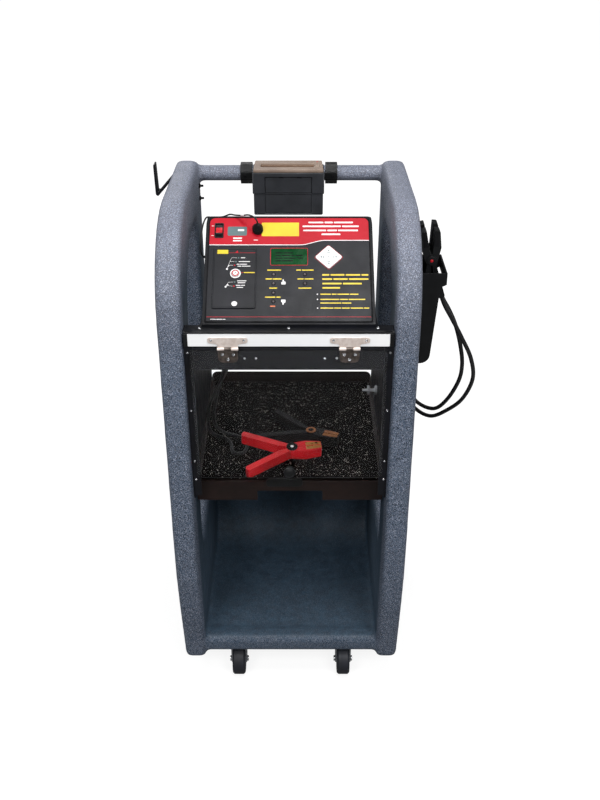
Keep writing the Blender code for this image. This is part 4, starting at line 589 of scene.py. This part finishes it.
def between(points, index, t):
    # a point of the smooth line through the route's points
    a, c = neighbours(points, index)
    b, d = points[index], neighbours(points, index + 1)[1]
    return 0.5 * (2 * b + (c - a) * t + (2 * a - 5 * b + 4 * c - d) * t ** 2 + (3 * b - a - 3 * c + d) * t ** 3)


def laidLead(name, facts):
    points = [Vector(p) for p in facts["route"]]
    if len(points) < 15:
        points = [p for i in range(len(points) - 1) for p in (points[i], between(points, i, 0.5))] + [points[-1]]
    line = bpy.data.curves.new(name, "CURVE")
    line.dimensions = "3D"
    line.bevel_depth = facts["radius"]
    line.bevel_resolution = 5
    line.resolution_u = 8
    line.use_fill_caps = True
    spline = line.splines.new("BEZIER")
    spline.bezier_points.add(len(points) - 1)
    for index, knot in enumerate(spline.bezier_points):
        before, after = neighbours(points, index)
        knot.co = points[index]
        knot.handle_left_type = knot.handle_right_type = "FREE"
        knot.handle_left = points[index] - (after - before) / 6
        knot.handle_right = points[index] + (after - before) / 6
    piece = dress(newObject(name, line), "leadRubber")
    shown(piece, "cart")
    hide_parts(facts["node"])


for leadName, leadFacts in leads.items():
    laidLead(leadName, leadFacts)
print("leads are laid")


# Cart moulding: one seamless skin over cheeks, pan and handle bar

cart = {"voxel": 0.005, "smoothing": 4}


def cartMoulding():
    piece = cadCopy("cartMoulding", "left_cheek", "right_cheek", "base_pan", "handle_bar")
    remesh = piece.modifiers.new("skin", "REMESH")
    remesh.mode = "VOXEL"
    remesh.voxel_size = cart["voxel"]
    smooth = piece.modifiers.new("soften", "SMOOTH")
    smooth.iterations = cart["smoothing"]
    smooth.factor = 0.5
    applyAll(piece)
    pick(piece)
    bpy.ops.object.shade_smooth()
    dress(piece, "cartPlastic")
    shown(piece, "cart")
    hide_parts("left_cheek", "right_cheek", "base_pan", "handle_bar")
    print("cart moulding:", len(piece.data.polygons), "faces")


cartMoulding()


# Face print of the console

facePrint = {
    "top": 0.0018,
    "layer": 0.00008,
    "overlap": 0.00004,
    "tester": 0.0046,
    "header": {"top": 0.2398, "left": 0.1772, "right": 0.1878, "halfWidth": 0.158,
               "riseFrom": 0.0214, "riseLong": 0.0497},
}


def headerEdge(offset):
    # lower edge of the red header: level, a gentle rise, level again
    head = facePrint["header"]
    points = [(-head["halfWidth"], head["left"] + offset)]
    for number in range(13):
        t = number / 12
        rise = t * t * (3 - 2 * t)
        points.append((head["riseFrom"] + t * head["riseLong"],
                       head["left"] + (head["right"] - head["left"]) * rise + offset))
    points.append((head["halfWidth"], head["right"] + offset))
    return points


def printed(name, outlines, layer, finish, level=facePrint["top"]):
    thick, overlap = facePrint["layer"], facePrint["overlap"]
    low = level + layer * thick - overlap
    return cutOut(name, outlines, low, low + thick + overlap, faceFrame, finish)


def wordBars(left, right, s, high, words):
    # plain bars as long as words, where the face carries small print
    gap = high * 0.7
    room = right - left - gap * (words - 1)
    shares = [1 + 0.45 * sin(2.3 * n + 40 * s) for n in range(words)]
    bars, x = [], left
    for share in shares:
        wide = room * share / sum(shares)
        bars.append(roundedBox(x + wide / 2, s, wide, high, high * 0.3))
        x += wide + gap
    return bars


def lineOf(points, wide):
    # a thin printed line through its points
    sides = [], []
    for index, point in enumerate(points):
        before = Vector(points[max(index - 1, 0)])
        after = Vector(points[min(index + 1, len(points) - 1)])
        across = (after - before).normalized().orthogonal() * wide / 2
        sides[0].append(tuple(Vector(point) + across))
        sides[1].append(tuple(Vector(point) - across))
    return sides[0] + list(reversed(sides[1]))


def diamond(x, s, half, radius):
    return roundedLoop([(x, s - half, radius), (x + half, s, radius), (x, s + half, radius), (x - half, s, radius)])


def bars(rows):
    return [bar for row in rows for bar in wordBars(*row)]


def facePrints():
    head = facePrint["header"]
    wide, top = head["halfWidth"], head["top"]
    upper = roundedLoop([(wide, top, 0.012), (-wide, top, 0.012)] + [(x, s, 0) for x, s in headerEdge(0)])
    border = [(-0.1608, 0.0042, 0.003), (0.1608, 0.0042, 0.003), (0.1608, 0.2423, 0.01), (-0.1608, 0.2423, 0.01)]
    inside = [(-0.158, 0.0062, 0.003), (0.158, 0.0062, 0.003), (0.158, 0.2398, 0.012), (-0.158, 0.2398, 0.012)]
    white = bars(((0.0383, 0.1272, 0.2294, 0.0036, 3), (0.0267, 0.1386, 0.2203, 0.0036, 2),
                  (0.028, 0.1368, 0.2106, 0.0036, 3), (0.0642, 0.1018, 0.2015, 0.0036, 1),
                  (-0.1112, -0.0937, 0.1924, 0.003, 1), (-0.1112, -0.0937, 0.1866, 0.003, 1),
                  (-0.0705, -0.062, 0.188, 0.0018, 1), (-0.15, -0.121, 0.01, 0.0012, 3)))
    white += [roundedBox(-0.1525, s, 0.0052, 0.0012) for s in (0.2212, 0.1985)]
    for x, s, tip in ((-0.0107, 0.0915, 1), (-0.0107, 0.048, -1)):
        white.append(roundedLoop([(x + across, s + tip * along, radius) for across, along, radius in (
            (-0.0042, -0.005, 0.0012), (0.0042, -0.005, 0.0012), (0.0042, 0.0012, 0.001), (0.0012, 0.002, 0.001),
            (0.0004, 0.0062, 0.0008), (-0.0016, 0.0062, 0.0008), (-0.002, 0.001, 0.001), (-0.0042, 0, 0.001))]))
    yellow = []
    for x, s, long in ((-0.029, 0.119, 0.027), (0.031, 0.119, 0.034), (-0.03, 0.099, 0.031),
                       (0.032, 0.099, 0.031), (-0.0305, 0.0785, 0.015), (0.031, 0.0785, 0.025),
                       (-0.031, 0.0585, 0.03)):
        yellow += wordBars(x - long / 2, x + long / 2, s, 0.0025, 2 if long > 0.028 else 1)
    yellow += bars((0.0648, right, s, 0.0035, words) for right, s, words in (
        (0.1545, 0.1082, 4), (0.1545, 0.0987, 3), (0.1415, 0.0886, 2), (0.099, 0.0791, 1)))
    yellow += bars((0.0605, right, s, 0.0023, words) for right, s, words in (
        (0.134, 0.065, 4), (0.147, 0.0535, 3), (0.12, 0.0455, 2), (0.1545, 0.0345, 5)))
    return joinUp("facePrint", [printed(*facts) for facts in (
        ("redHeader", [upper, roundedBox(*rockerSpot, 0.0142, 0.0302), ring(*plugSpot, 0.0056)], 0, "redInk"),
        ("headerLine", [headerEdge(0.0004) + headerEdge(-0.0012)[::-1]], 1, "whiteInk"),
        ("blackBorder", [roundedLoop(border), roundedLoop(inside)], 0, "dullBlack"),
        ("bareBlock", [roundedBox(-0.0177, 0.2131, 0.0742, 0.032, 0.0008)], 1, "yellowInk"),
        ("windowBed", [roundedBox(-0.10345, 0.2089, 0.0385, 0.0212, 0.003)], 1, "tealInk"),
        ("windowSlot", [roundedBox(-0.096, 0.2112, 0.0125, 0.0042, 0.001)], 2, "whiteInk"),
        ("whitePrint", white, 2, "whiteInk"),
        ("yellowPrint", yellow, 0, "yellowInk"),
        ("bullets", [ring(0.055, s, 0.0014, 12) for s in (0.065, 0.0535, 0.0345)], 0, "whiteInk"),
        ("smallTag", wordBars(-0.036, -0.0262, 0.0385, 0.0024, 1), 0, "orangeInk"),
        ("redLine", [roundedBox(0, 0.0153, 0.314, 0.0009)], 0, "redInk"),
        ("keypadLine", [diamond(*keypadSpot, half, 0.004) for half in (0.029, 0.0281)], 0, "redInk"))])


def testerPrints():
    frame = [roundedBox(-0.1062, 0.0998, 0.0804 - inset, 0.1294 - inset, radius)
             for inset, radius in ((0, 0.003), (0.0012, 0.0025))]
    red = [roundedBox(-0.092, 0.1568, 0.053, 0.0007), ring(-0.1066, 0.1282, 0.0016, 14),
           ring(-0.1066, 0.0814, 0.0016, 14), roundedBox(-0.0915, 0.1117, 0.003, 0.0016),
           [(-0.106, 0.157), (-0.1, 0.157), (-0.1012, 0.1625)]]
    teal = [ring(x, s, 0.0016, 14) for x, s in ((-0.099, 0.1453), (-0.104, 0.1366), (-0.1053, 0.0906))]
    white = [ring(-0.121, 0.1198, 0.002, 14), ring(-0.1225, 0.0799, 0.002, 14), ring(-0.1048, 0.0426, 0.0054),
             ring(*buttonSpot, 0.0104, 36), ring(*buttonSpot, 0.0083, 36)]
    white += [lineOf(points, 0.0005) for points in (
        [(-0.1208, 0.1222), (-0.1125, 0.1453), (-0.1022, 0.1453)], [(-0.1156, 0.1366), (-0.107, 0.1366)],
        [(-0.1182, 0.129), (-0.116, 0.1282), (-0.1095, 0.1282)],
        [(-0.1222, 0.0822), (-0.117, 0.09), (-0.1085, 0.0906)],
        [(-0.119, 0.0872), (-0.1165, 0.0822), (-0.1095, 0.0814)])]
    white += bars((left, right, s, 0.0016, words) for left, right, s, words in (
        (-0.0945, -0.0862, 0.1453, 1), (-0.0985, -0.0763, 0.1366, 1), (-0.1025, -0.082, 0.1306, 2),
        (-0.1005, -0.0755, 0.1262, 2), (-0.1005, -0.0826, 0.093, 1), (-0.0995, -0.0846, 0.0888, 1),
        (-0.103, -0.0851, 0.083, 2), (-0.101, -0.089, 0.0785, 1)))
    return joinUp("testerPrint", [printed(*facts, facePrint["tester"]) for facts in (
        ("panelLine", frame, 0, "dullBlack"),
        ("panelTag", [roundedBox(-0.1303, 0.159, 0.0215, 0.009, 0.0008)], 0, "yellowInk"),
        ("panelRed", red, 0, "redInk"),
        ("panelTeal", teal, 0, "tealInk"),
        ("panelWhite", white, 1, "whiteInk"),
        ("panelYellow", wordBars(-0.088, -0.0669, 0.1117, 0.0022, 1), 1, "yellowInk"))])


shown(facePrints(), "cart")
shown(testerPrints(), "cart")
print("face is printed")


# Raised parts of the face: display frame, lamps, rocker's bezel, key marks, plug's ribs

def displayFrame():
    frame = [roundedBox(0, 0.1495, 0.074, 0.04, 0.004), roundedBox(0, 0.1495, 0.0722, 0.0382, 0.003)]
    rows = bars((-0.027, 0.027 if words > 2 else 0.008, s, 0.0022, words) for s, words in (
        (0.158, 2), (0.152, 4), (0.146, 3), (0.14, 2)))
    return joinUp("displayFrame", [cutOut("displayFrame", frame, 0.0016, 0.0024, faceFrame, "redPlastic", 0.0002),
                                   printed("displayBars", rows, 0, "dullBlack", 0.0022)])


def lamps():
    parts = []
    for x, s in ((-0.03, 0.1093), (-0.03, 0.0886), (-0.03, 0.068), (-0.03, 0.0488), (0.031, 0.1093),
                 (0.031, 0.0886)):
        place = faceFrame @ Matrix.Translation((x, s, 0.0017))
        parts.append(lathe("lampCollar", [(0.0026, 0), (0.0041, 0), (0.004, 0.0006), (0.0034, 0.0009),
                                          (0.0026, 0.0006), (0.0026, 0)], place, "dullBlack", 24))
        parts.append(lathe("lampDome", [(0, 0), (0.0026, 0), (0.0026, 0.0008), (0.0021, 0.0016), (0.0012, 0.0021),
                                        (0, 0.0023)], place, "lampDark", 20))
    return joinUp("lamps", parts)


def rockerBezel():
    frame = [roundedBox(*rockerSpot, 0.0182, 0.0345, 0.0025), roundedBox(*rockerSpot, 0.0139, 0.0299, 0.0006)]
    return cutOut("rockerBezel", frame, 0.0016, 0.0036, faceFrame, "blackPlastic", 0.0004)


def rockerCap():
    # black ends and a red middle
    piece = cadCopy("rockerCap", "rocker")
    softEdges(piece, 0.0005, 30)
    smoothShade(piece, 30)
    middle, half = rockerSpot[1], 0.0068
    for edge in (middle - half, middle + half):
        editAll(piece)
        bpy.ops.mesh.bisect(plane_co=faceFrame @ Vector((0, edge, 0)), plane_no=faceFrame.to_3x3() @ Vector((0, 1, 0)))
        leaveEdit()
    dress(piece, "blackPlastic")
    piece.data.materials.append(finishes["redPlastic"])
    back = faceFrame.inverted()
    for face in piece.data.polygons:
        face.material_index = 1 if abs((back @ face.center).y - middle) < half else 0
    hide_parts("rocker")
    return piece


def keyMarks():
    x, s = keypadSpot
    marks = []
    for turn in (0, pi / 2, pi, pi * 3 / 2):
        tip = [(0.0, 0.0168), (-0.0024, 0.0134), (0.0024, 0.0134)]
        bar = [(-0.003, 0.0096), (0.003, 0.0096), (0.003, 0.0108), (-0.003, 0.0108)]
        for shape in (tip, bar):
            marks.append([(x + a * cos(turn) - b * sin(turn), s + a * sin(turn) + b * cos(turn))
                          for a, b in shape])
    marks.append(ring(x, s, 0.0011, 12))
    return printed("keyMarks", marks, 0, "tealInk", 0.0033)


def plugRibs():
    parts = []
    for number in range(5):
        height = 0.003 + number * 0.0022
        parts.append(lathe("plugRib", [(0.0098, height), (0.0106, height + 0.0004), (0.0106, height + 0.0009),
                                       (0.0098, height + 0.0013)],
                           faceFrame @ Matrix.Translation((*plugSpot, 0)), "dullBlack", 28))
    sleeve = [(0.0017, 0), (0.0025, 0.0004), (0.0025, 0.0096), (0.0017, 0.01)]
    start, end = faceFrame @ Vector((-0.089, 0.233, 0.0222)), faceFrame @ Vector((-0.098, 0.2391, 0.0126))
    parts.append(lathe("leadSleeve", sleeve, facing(*start, end - start), "whiteInk", 20))
    return joinUp("plugRibs", parts)


def buttonRing():
    mark = lineOf([(-0.1063, 0.1082), (-0.1027, 0.1114)], 0.0012)
    return joinUp("buttonRing", [
        printed("buttonRed", [ring(*buttonSpot, radius, 32) for radius in (0.007, 0.0048)], 0, "redInk", 0.007),
        printed("buttonMark", [mark], 0, "tealInk", 0.007)])


shown(buttonRing(), "ring_button")
shown(displayFrame(), "cart")
shown(lamps(), "cart")
shown(rockerBezel(), "cart")
shown(rockerCap(), "rocker")
shown(keyMarks(), "keypad")
shown(plugRibs(), "cart")
print("face's raised parts are in")


# CAD pieces with their edges softened

softened = {
    0.0003: "rear_cover tester_panel feed_button hinge_leaf_* door_leaf_*",
    0.0004: "shelf_trim control_board",
    0.0005: "charger_shelf tray printer_cradle mains_inlet keypad",
    0.0006: "bay_side_* tray_mat ring_button door_panel caster_plate_* caster_fork_*",
    0.0007: "cable_hook",
    0.0008: "front_wheel_*",
    0.001: "holster printer_body red_charge_clamp_+ black_charge_clamp_+",
    0.0012: "charger_case bar_clamp_* rear_wheel_* red_test_clamp_+ black_test_clamp_+ transformer",
}
softWidth = {node: width for width, line in softened.items() for node in named(line)}
for node, width in softWidth.items():
    first, *rest = node.split("_")
    piece = cadCopy(first + "".join(word.capitalize() for word in rest) + "Soft", node)
    softEdges(piece, width, 38)
    smoothShade(piece, 8 if node == "door_panel" else 35)
    dress(piece, finishOf[node])
    if node == "door_panel":
        # its cut edges are painted dark and opaque: painted shade, so that they show no bright line of light
        piece.data.materials.append(finishes["dullBlack"])
        for face in piece.data.polygons:
            face.material_index = 0 if abs(face.normal.y) > 0.99 else 1
    shown(piece, bodyOf[node])
    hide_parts(node)
print("edges are softened")


# Screws, rivets and bolts

def panScrew(radius, high, finish):
    head = lathe("panScrew", [(0, 0), (radius, 0), (radius, high * 0.35), (radius * 0.82, high * 0.78),
                              (radius * 0.45, high), (0, high * 1.05)], unturned, finish, 20)
    half, arm = radius * 0.62, radius * 0.14
    cross = [(-half, -arm), (-arm, -arm), (-arm, -half), (arm, -half), (arm, -arm), (half, -arm), (half, arm),
             (arm, arm), (arm, half), (-arm, half), (-arm, arm), (-half, arm)]
    slot = cutOut("screwCross", [cross], high * 0.55, high * 1.6, unturned, "dullBlack")
    carve = head.modifiers.new("cross", "BOOLEAN")
    carve.operation = "DIFFERENCE"
    carve.solver = "EXACT"
    carve.object = slot
    applyAll(head)
    bpy.data.objects.remove(slot)
    smoothShade(head, 30)
    return head


masters = {
    "small": panScrew(0.0024, 0.0014, "brightSteel"),
    "middle": panScrew(0.0036, 0.0021, "brightSteel"),
    "large": panScrew(0.0036, 0.002, "brightSteel"),
    "dark": panScrew(0.003, 0.0018, "dullBlack"),
}
down, front, rear, left, right = (0, 0, -1), (0, -1, 0), (0, 1, 0), (-1, 0, 0), (1, 0, 0)
screws = {
    "cart": (
        [("large", (x, -0.2125, 0.947), (0, 0, 1)) for x in (-0.17, 0.0, 0.17)]
        + [("small", (side * 0.116 + x, -0.2341, 0.9323), front) for side in (-1, 1) for x in (-0.031, 0.031)]
        + [("small", (side * 0.1945, -0.2255, z), front) for side in (-1, 1) for z in (0.901, 0.771, 0.649, 0.604)]
        + [("large", (x, 0.0883, z), rear) for x in (-0.157, 0.157) for z in (0.957, 1.031)]
        + [("dark", (0.02 + x, 0.0883, 0.9955 + z), rear) for x in (-0.0357, 0.0357) for z in (-0.0357, 0.0357)]
        + [("small", (-0.11 + x, 0.0926, 0.985), rear) for x in (-0.0205, 0.0205)]
        + [("dark", (0.2538, y, z), right) for y in (-0.144, -0.113) for z in (0.856, 0.974)]
        + [("dark", (-0.2543, 0.2025, z), left) for z in (1.06, 1.088)]
        + [("dark", (x, 0.1985, 1.111), front) for x in (-0.099, 0.093)]
        + [("large", (side * 0.125 + x, -0.152 + y, 0.0827), down) for side in (-1, 1) for x in (-0.021, 0.021)
           for y in (-0.021, 0.021)]
        + [("small", (x, -0.2255, 0.8896), front) for x in (-0.085, -0.063, 0.069, 0.092)]),
    "door": [("middle", (side * 0.116 + x, -0.2348, z), front) for side in (-1, 1)
             for x, z in ((-0.0105, 0.9025), (0.0105, 0.9025), (0.0, 0.8915))],
}
for body, places in screws.items():
    copies = [copyOf(masters[kind], "screw", facing(*place, direction)) for kind, place, direction in places]
    shown(joinUp(body + "Screws", copies), body)
for master in masters.values():
    bpy.data.objects.remove(master)
print("screws are in")


# Small fittings of the bay, cart and console

# a place whose own x and y lie along the room's x and z
wall = Matrix(((1, 0, 0, 0), (0, 0, -1, 0), (0, 1, 0, 0), (0, 0, 0, 1)))
fanSpot = facing(0.02, 0.0883, 0.9955, rear)


def bayFittings():
    parts = [cutOut("trimCap", [roundedBox(x, 0.93125, 0.0078, 0.027, 0.003)], 0.2262, 0.233, wall, "blackPlastic",
                    0.0008) for x in (-0.19615, 0.19615)]
    parts.append(cutOut("trimStrip", [roundedBox(0, 0.2292, 0.384, 0.0072, 0.0006)], 0.9449, 0.9466,
                        Matrix.Scale(-1, 4, (0, 1, 0)), "blackPlastic", 0.0003))
    closeUp(parts[-1])
    parts.append(cutOut("latchPlate", [roundedBox(-0.0115, 0.575, 0.078, 0.02, 0.0095)], 0.1965, 0.1993, wall,
                        "blackPlastic", 0.0006))
    return joinUp("bayFittings", parts)


def wallFitting():
    # a flanged stud on the right side panel's inner face
    profile = [(0, 0), (0.0108, 0), (0.0108, 0.0042), (0.01, 0.005), (0.0042, 0.0056), (0.0034, 0.011),
               (0.0042, 0.0164), (0.01, 0.017), (0.0108, 0.0178), (0.0108, 0.021), (0.01, 0.0218),
               (0.0034, 0.0222), (0.0026, 0.032), (0.0016, 0.0332), (0, 0.0334)]
    return lathe("wallFitting", profile, facing(0.1977, 0.05, 0.657, left), "studNylon", 28)


def glands():
    parts = []
    for place, direction, bore in (((0.118, 0.0883, 0.985), rear, 0.0046), ((0.142, 0.0883, 0.985), rear, 0.0046),
                                   ((-0.117, -0.098, 0.945), down, 0.0036), ((-0.101, -0.106, 0.945), down, 0.0036),
                                   ((-0.166, -0.0332, 1.018), left, 0.0017)):
        wide = bore + 0.0032
        profile = [(bore, 0), (wide, 0), (wide, 0.0022), (wide - 0.001, 0.0028), (bore + 0.0012, 0.0034),
                   (bore + 0.0008, 0.008), (bore, 0.008)]
        parts.append(lathe("gland", profile, facing(*place, direction), "blackPlastic", 24))
    return joinUp("glands", parts)


def fingerGuard():
    parts = []
    for radius in (0.01, 0.018, 0.026, 0.034):
        loop = [(radius + 0.0009 * cos(a), 0.0022 + 0.0009 * sin(a))
                for a in [radians(45 * n) for n in range(9)]]
        parts.append(lathe("guardRing", loop, fanSpot, "brightSteel", 40))
    parts += [cutOut("guardArm", [roundedBox(0, 0, 0.098, 0.0018, 0.0008)], 0.0004, 0.0018,
                     fanSpot @ turned(angle, "Z"), "brightSteel", 0.0004) for angle in (45, 135)]
    return joinUp("fingerGuard", parts)


def boltEnds():
    # the hook's bolts come out on the left cheek's inner face
    profile = [(0, 0), (0.0052, 0), (0.0052, 0.003), (0.0044, 0.0038), (0.0026, 0.004), (0.0026, 0.0095),
               (0.002, 0.0102), (0, 0.0104)]
    return joinUp("boltEnds", [lathe("boltEnd", profile, facing(-0.2012, 0.2025, z, right), "dullBlack", 6)
                               for z in (1.06, 1.088)])


def printerLid():
    # the lid has a sunk bed round the paper slot, painted a darker tan as painted shade of the recess
    edge = roundedLoop([(-0.076, 0.104, 0.003), (0.07, 0.104, 0.003), (0.068, 0.17, 0.003), (-0.074, 0.17, 0.003)])
    sunk, slot = roundedBox(-0.005, 0.1365, 0.112, 0.024, 0.003), roundedBox(-0.005, 0.137, 0.11, 0.013, 0.002)
    well = roundedBox(0.058, 0.137, 0.01, 0.017)
    rim = cutOut("lidRim", [edge, sunk, well], 1.1483, 1.1543, unturned, "tanPlastic", 0.0008)
    bed = cutOut("lidBed", [roundedBox(-0.005, 0.1365, 0.113, 0.025, 0.003), slot], 1.1484, 1.1502,
                 unturned, "tanPaintedShade", 0.0003)
    piece = joinUp("printerLid", [rim, bed])
    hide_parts("printer_top")
    return piece


def printerDetails():
    slots = [roundedBox(x, 1.1372, 0.01, 0.0016, 0.0006) for x in (-0.018, 0.02)]
    seams = [roundedBox(-0.003, z, 0.0972 - inset, high - inset, 0.001)
             for z, high in ((1.0815, 0.04), (1.1215, 0.034)) for inset in (0, 0.0016)]
    blade = [(-0.058 + number * 0.001, 0.1345 if number % 2 else 0.1335) for number in range(106)]
    lamp = [(0, 0), (0.0016, 0), (0.0014, 0.0006), (0, 0.0008)]
    return joinUp("printerDetails", [
        cutOut("printerSlots", slots, -0.106, -0.1052, wall, "dullBlack"),
        cutOut("printerSeams", seams, -0.106, -0.1051, wall, "dullBlack"),
        cutOut("tearBlade", [blade + [(0.048, 0.1318), (-0.058, 0.1318)]], 1.15, 1.1506, unturned, "brightSteel"),
        lathe("readyLamp", lamp, Matrix.Translation((0.058, 0.16, 1.1543)), "redPlastic", 16)])


shown(printerLid(), "cart")
shown(bayFittings(), "cart")
shown(wallFitting(), "cart")
shown(glands(), "cart")
shown(fingerGuard(), "cart")
shown(boltEnds(), "cart")
shown(printerDetails(), "cart")
print("fittings are in")


# Clamp jaws and pivots

matTop = 0.5803
rolledZ = matTop + 0.0003 + (0.118 * sin(radians(28.5)) + 0.007 * cos(radians(28.5))) * sin(
    radians(9)) + 0.0128 * cos(radians(9))
upright = Matrix(((0, 1, 0, 0), (0, 0, 1, 0), (1, 0, 0, 0), (0, 0, 0, 1)))
tools = {
    "redTest": {"place": Matrix.Translation((0.004, -0.119, rolledZ)) @ turned(8, "Z") @ turned(9, "X"),
                "jaw": 0.064, "open": 0, "bodies": ("cart", "red_test_jaw"), "teeth": "brass", "sides": (1,),
                "disc": ("dullBlack", 0.0124), "dot": ("whiteInk", 0.0036)},
    "blackTest": {"place": Matrix.Translation((0.046, -0.04, matTop + 0.0131)) @ turned(-19, "Z"),
                  "jaw": 0.064, "open": 0, "bodies": ("black_test_jaw", "cart"), "teeth": "bareCopper",
                  "sides": (1,), "disc": ("bareCopper", 0.0112), "dot": ("dullBlack", 0.006)},
}
for colour, y, dotFinish in (("red", -0.07, "redPlastic"), ("black", -0.03, "dullBlack")):
    tools[colour + "Charge"] = {
        "place": Matrix.Translation((0.2813, y, 1.03)) @ turned(-5, "Y") @ upright, "jaw": 0.062, "open": 7,
        "bodies": ("cart", colour + "_charge_jaw"), "teeth": "dullBlack", "sides": (1, -1),
        "disc": ("blackPlastic", 0.0096), "dot": (dotFinish, 0.0032)}


def jawTeeth(name, tool, side):
    # a notched metal strip along both flanks of the jaw
    tip, root, count = tool["jaw"] - 0.001, 0.03, 9
    step = (tip - root) / count
    outline = []
    for number in range(count):
        x = root + number * step
        outline += [(x, side * 0.0022), (x + step * 0.5, side * 0.0006)]
    outline += [(tip, side * 0.0022), (tip, side * 0.0085), (tool["jaw"] * 0.7, side * 0.0105), (root, side * 0.011)]
    place = tool["place"] @ turned(side * tool["open"], "Z")
    return joinUp(name, [cutOut("teeth", [outline], low, low + 0.0009, place, tool["teeth"], 0.0001)
                         for low in (0.0119, -0.0128)])


def pivotCap(name, tool):
    parts = []
    (discFinish, disc), (dotFinish, dot) = tool["disc"], tool["dot"]
    for side in tool["sides"]:
        place = tool["place"] @ turned(0 if side > 0 else 180, "X")
        parts.append(lathe("pivotDisc", [(dot, 0.0126), (disc, 0.0126), (disc, 0.0138), (disc - 0.001, 0.0146),
                                         (dot + 0.001, 0.0146), (dot, 0.014)], place, discFinish, 32))
        parts.append(lathe("pivotDot", [(0, 0.0126), (dot - 0.0001, 0.0126), (dot - 0.0001, 0.0142),
                                        (dot * 0.66, 0.015), (0, 0.0152)], place, dotFinish, 20))
    return joinUp(name, parts)


for toolName, tool in tools.items():
    upperBody, lowerBody = tool["bodies"]
    shown(jawTeeth(toolName + "UpperTeeth", tool, 1), upperBody)
    shown(jawTeeth(toolName + "LowerTeeth", tool, -1), lowerBody)
    shown(pivotCap(toolName + "Pivot", tool), upperBody)
print("clamps are finished")


# Wheels: hub discs and axle nuts

wheels = {"rear": (0.286, 0.18, 0.075), "front": (0.125, -0.178, 0.0375)}


def hubDisc(name, side):
    # a spoked disc in the wheel's outer recess
    x, y, z = wheels["rear"]
    place = facing(side * x, y, z, (side, 0, 0))
    outlines = [ring(0, 0, 0.0502, 48), ring(0, 0, 0.0228, 36)]
    outlines += [ring(*spot, 0.0085, 18) for spot in ring(0, 0, 0.0365, 6)]
    lip = [(0.0472, 0.0042), (0.0502, 0.0042), (0.0502, 0.0078), (0.0492, 0.0086), (0.048, 0.0078)]
    return joinUp(name, [cutOut("hubDisc", outlines, 0.0002, 0.0042, place, "wheelHub", 0.0008),
                         lathe("hubLip", lip, place, "wheelHub", 48)])


def frontPlaces(side, reach):
    # both faces of the front wheel on that side, at that distance from its middle
    x, y, z = wheels["front"]
    return [facing(side * x + face * reach, y, z, (face, 0, 0)) for face in (-1, 1)]


def axleNuts(name, side):
    outlines = [ring(0, 0, 0.0068, 6), ring(0, 0, 0.004, 18)]
    return joinUp(name, [cutOut("axleNut", outlines, 0.0001, 0.0038, place, "brightSteel", 0.0005)
                         for place in frontPlaces(side, 0.0185)])


def casterHub(name, side):
    profile = [(0.005, -0.0008), (0.024, -0.0008), (0.024, 0.0001), (0.0225, 0.0003), (0.005, 0.0003)]
    return joinUp(name, [lathe("casterHub", profile, place, "wheelHub", 36) for place in frontPlaces(side, 0.015)])


for side, word in ((-1, "left"), (1, "right")):
    ending = word.capitalize()
    shown(hubDisc("hubDisc" + ending, side), "rear_wheel_" + word)
    shown(axleNuts("axleNuts" + ending, side), "caster_" + word)
    shown(casterHub("casterHub" + ending, side), "front_wheel_" + word)
print("wheels are finished")
